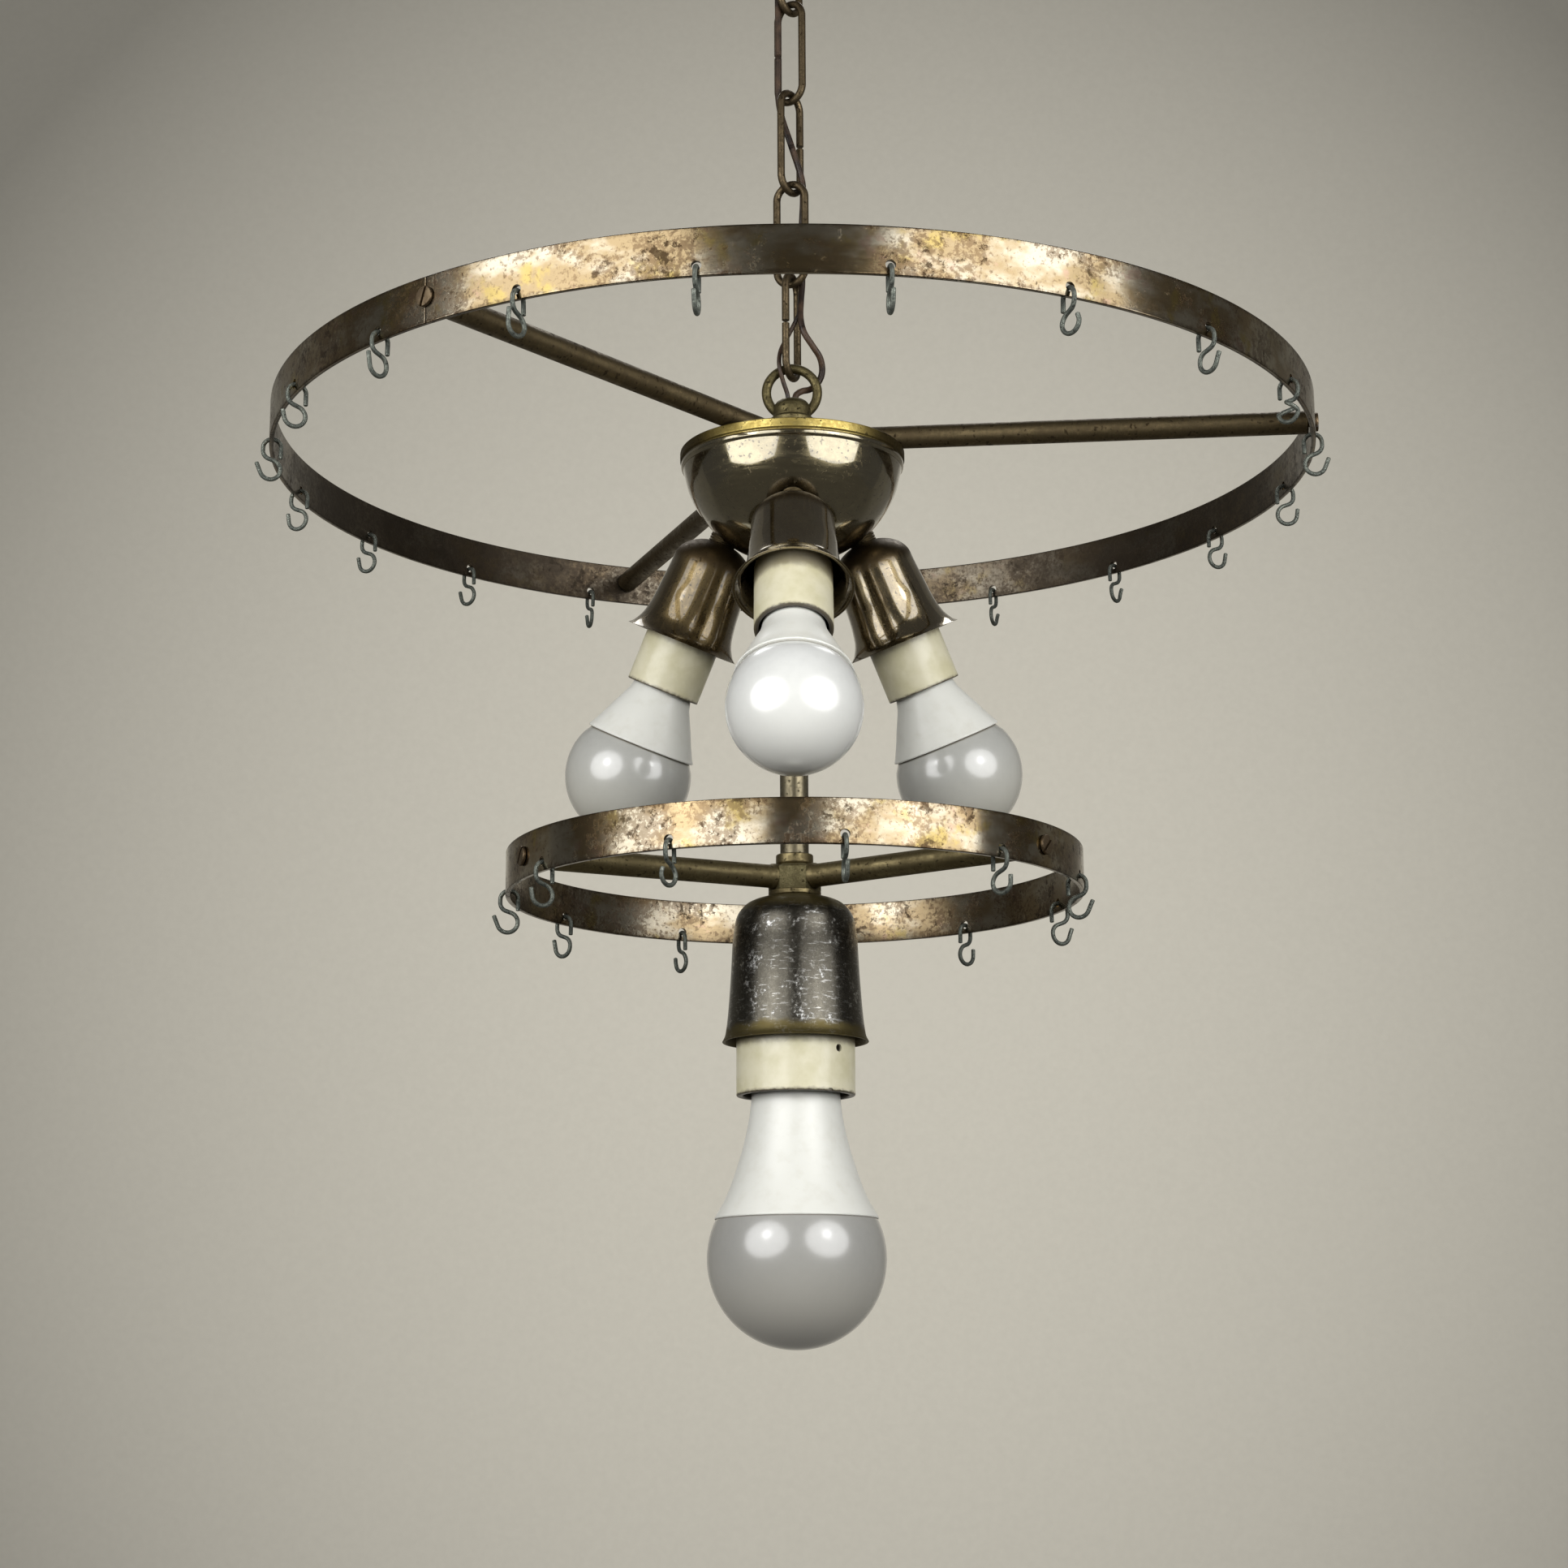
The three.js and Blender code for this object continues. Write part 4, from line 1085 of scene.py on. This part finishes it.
# Worn gunmetal over brass: the brass shows in a band above the lip and on the dome.
def gunmetalFinish():
    look = largeCup["finish"]
    paint = Paint("gunmetalCup")
    patches = paint.noise(look["patch"], 5, 0.62)
    grains = paint.noise(1.3, 6, 0.72)
    rubbed = (patches * 0.45 + grains * 0.55).between(*look["rubbed"])
    lines = paint.noise(0.7, 4, 0.6, (6, 6, 1)).between(0.58, 0.66)
    bare = (rubbed + lines * 0.4) * look["rubs"]
    height = paint.along("Z") + (patches - 0.5) * 5
    brass = (1 - height.between(-199.4, -196.6)) + height.between(-159.4, -156.6)
    return paint.finish({
        "Base Color": paint.layered(
            look, "dark", (grains.between(0.35, 0.65), "middle"), (bare, "bright"), (brass * 0.8, "olive")),
        "Metallic": 1.0,
        "Roughness": 0.24 - rubbed * 0.1 + grains * 0.06 + brass * 0.22,
        "Normal": paint.bump(grains * 0.8 + rubbed * 0.4, 0.07, 0.8),
    })


looks = {
    "cream": creamFinish("creamSmall", 32.8, 52, smallHolder["radius"]),
    "white": whiteFinish("housingWhite"),
    "frontGlobeLit": globeFinish("frontGlobeLit", bulb["frontGlobeLit"], 12.1),
    "sideGlobeShaded": globeFinish("sideGlobeShaded", bulb["sideGlobeShaded"], 12.1),
    "largeGlobe": globeFinish("largeGlobe", bulb["largeGlobe"], 13.2, bulb["spread"]),
    "cap": capFinish(),
    "screw": agedMetal("locknutBrass", screwBrass, 0.9),
    "nipple": agedMetal("nippleBrass", arms["upper"], 1.4),
}
for number, way in enumerate(thirds, 1):
    makeSocket(number, way)
makeLargeSocket()
print("sockets and bulbs made")

# The hooks: one wire shape, hung in each hole. The open lower loop is bent by hand: how far it is turned
# aside, where its bend ends, and how long its free end is.
hook = {
    "wire": 1.5,
    "upperLoop": 3.05,
    "shank": 1.1,
    "lowerLoop": 3.5,
    "loopGap": 6.8,
    "freeEnd": 3.9,
    "lift": 0.55,
    "plain": (0, 345, 3.4),
    "upper": {
        1: (14, 372, 1.2), 2: (-6, 338, 3.6), 3: (172, 350, 3), 4: (6, 335, 4), 5: (-8, 348, 3),
        7: (10, 342, 3.6), 8: (4, 330, 4), 11: (-8, 350, 2.6), 12: (7, 338, 3.8), 14: (-10, 352, 3),
        15: (9, 336, 4), 16: (-5, 344, 3), 17: (6, 352, 4.2), 18: (-12, 350, 5),
    },
    "lower": {
        1: (8, 352, 2.6), 2: (-6, 334, 4), 3: (12, 340, 3.6), 4: (-7, 350, 3), 6: (9, 338, 3.4),
        7: (-6, 348, 3.6), 8: (5, 336, 4), 9: (-9, 346, 3.2), 10: (-14, 372, 1.2),
    },
}


# The wire's line in its own plane, outwards and up from the middle of the upper loop.
def hookLine(ends, tip):
    upper, lower, gap, shank = (hook[k] for k in ("upperLoop", "lowerLoop", "loopGap", "shank"))
    slant = degrees(acos((upper + lower) / gap))
    line = [(-upper, -hook["freeEnd"])] + arc(0, 0, upper, 180, 0, 18)
    line += arc(0, -shank, upper, 0, slant - 90, 9) + arc(0.4, -shank - gap, lower, 90 + slant, ends, 24)
    u, v = line[-1]
    way = radians(ends + 92)
    line += [(u + tip * t * cos(way), v + tip * t * sin(way)) for t in (0.5, 1)]
    lean = radians(-0.8)  # hangs with its weight below the hole
    return [(a * cos(lean) + b * sin(lean), b * cos(lean) - a * sin(lean)) for a, b in line]


def makeHooks(name, hoop, finish):
    holeFloor = hoop["bottom"] + band["holeRise"] - band["hole"] * cos(pi / 6)
    loopHeight = holeFloor + hook["lift"] + hook["wire"] / 2 - hook["upperLoop"]
    reach = (hoop["radius"] - hoop["wall"] / 2) * cos(pi / hoop["flats"])
    for i, direction in enumerate(hookDirections(hoop)):
        aside, ends, tip = hook[name].get(i, hook["plain"])
        bent = []
        for out, up in hookLine(ends, tip):
            share = min(1, max(0, (-up - 3) / 5)) * radians(aside)  # only the lower loop is turned
            bent.append((out * sin(share), -out * cos(share), up))
        place = turnedBy(direction) @ moved(0, -reach, loopHeight)
        wire = swept(f"{name}_s_hook_{i + 1}", bent, hook["wire"] / 2, 10, finish, place, 0.2)
        dressed(wire, f"{name}_hook_{i + 1}", f"{name}_hook_{i + 1}")


makeHooks("upper", hoops["upper"], zincFinish)
makeHooks("lower", hoops["lower"], zincFinish)
print("hooks made")

# The room: a pale floor that runs up into the wall behind, two round soft boxes with a hotter middle beside
# the camera, and two small lamps behind the object.
room = {
    "floor": -2.2,
    "wall": 1.85,
    "cove": 0.6,
    "wallTone": tone(142, 139, 132),
    "wallShade": tone(136, 133, 126),
    "glow": (0.52, 0.493, 0.42, 1),  # the wall as it is seen, beside what the lamps give it
    "glowMiddle": (0.06, 0, -0.128),
    "glowReach": (1.332, 1.559),
    "floorGlow": 0.2,
    "worldTone": (0.07, 0.068, 0.065, 1),
    "worldSeen": (0.11, 0.107, 0.1, 1),
}
softBoxes = {"left": -41, "right": 41}
softBox = {  # each cloth and the bulb in it: metres away, height, size and light
    "BoxCloth": (0.72, -0.24, (0.84, 0.66), 3.3),
    "BoxBulb": (0.7, -0.21, (0.16, 0.16), 6),
}
backBox = {"turn": 155, "away": 0.75, "height": 0.6, "size": (0.5, 0.4), "light": 3.2}


# A lamp that faces the object's axis, whose light is its brightness as it would be seen.
def makeLamp(name, place, size, brightness, aim=-0.36):
    light = bpy.data.lights.new(name, "AREA")
    light.shape = "ELLIPSE"
    light.size, light.size_y = size
    light.energy = brightness * pi * pi * size[0] * size[1] / 4
    lamp = placed(name, light)
    lamp.location = place
    lamp.rotation_mode = "QUATERNION"
    lamp.rotation_quaternion = (Vector((0, 0, aim)) - lamp.location).to_track_quat("-Z", "Y")
    lamp.visible_camera = False


def roomFinish():
    paint = Paint("roomPaint")
    width, height = room["glowReach"]
    offset = paint.vector("SUBTRACT", paint.place(), room["glowMiddle"])
    flat = paint.vector("MULTIPLY", offset, (1 / width, 0, 1 / height))
    far = paint.vector("LENGTH", flat, output="Value")
    # Painted pool of light on the wall: its glow is brightest round glowMiddle and falls off outwards, to no
    # less than 0.3.
    painted_light_pool = far.worked("MAXIMUM", 1 - far * far, 0.3)
    upright = paint.along("Z").between(-2000, -1400)  # 0 on the floor, 1 on the wall
    plaster = 0.94 + 0.12 * paint.noise(6, 5)
    level = painted_light_pool * plaster * upright + (1 - upright) * room["floorGlow"]
    return paint.finish({
        "Base Color": paint.mixed(paint.noise(900, 2), room["wallTone"], room["wallShade"]),
        "Emission Color": paint.mixed(paint.seen() * level, black, room["glow"]),
        "Emission Strength": 1.0,
        "Roughness": 0.9,
        "Specular IOR Level": 0.1,
    })


def makeRoom():
    half, top, back = 5, 3.2, -5
    floor, wall, cove = room["floor"], room["wall"], room["cove"]
    bend = arc(wall - cove, floor + cove, cove, -90, 0, 16)
    section = [(back, floor), (wall - cove, floor), *bend, (wall, top)]
    points = [(x / mm, y / mm, z / mm) for x in (-half, half) for y, z in section]
    count = len(section)
    faces = [(i, i + 1, count + i + 1, count + i) for i in range(count - 1)]
    madePiece("room", points, faces, roomFinish(), Matrix.Identity(4))
    for side, aside in softBoxes.items():
        for part, (away, height, size, light) in softBox.items():
            makeLamp(side + part, onSpoke(aside, away, height), size, light, height)
    for name, turn in (("backLeft", -backBox["turn"]), ("backRight", backBox["turn"])):
        makeLamp(name, onSpoke(turn, backBox["away"], backBox["height"]), backBox["size"], backBox["light"])
    paint = Paint("greyRoom", kind=bpy.data.worlds)
    around = paint.mixed(paint.seen(), room["worldTone"], room["worldSeen"])
    light = paint.node("Background", sockets={"Color": around})
    paint.node("OutputWorld", sockets={0: light})
    bpy.context.scene.world = paint.material
    bpy.context.scene.view_settings.view_transform = "Standard"


makeRoom()
print("room made")
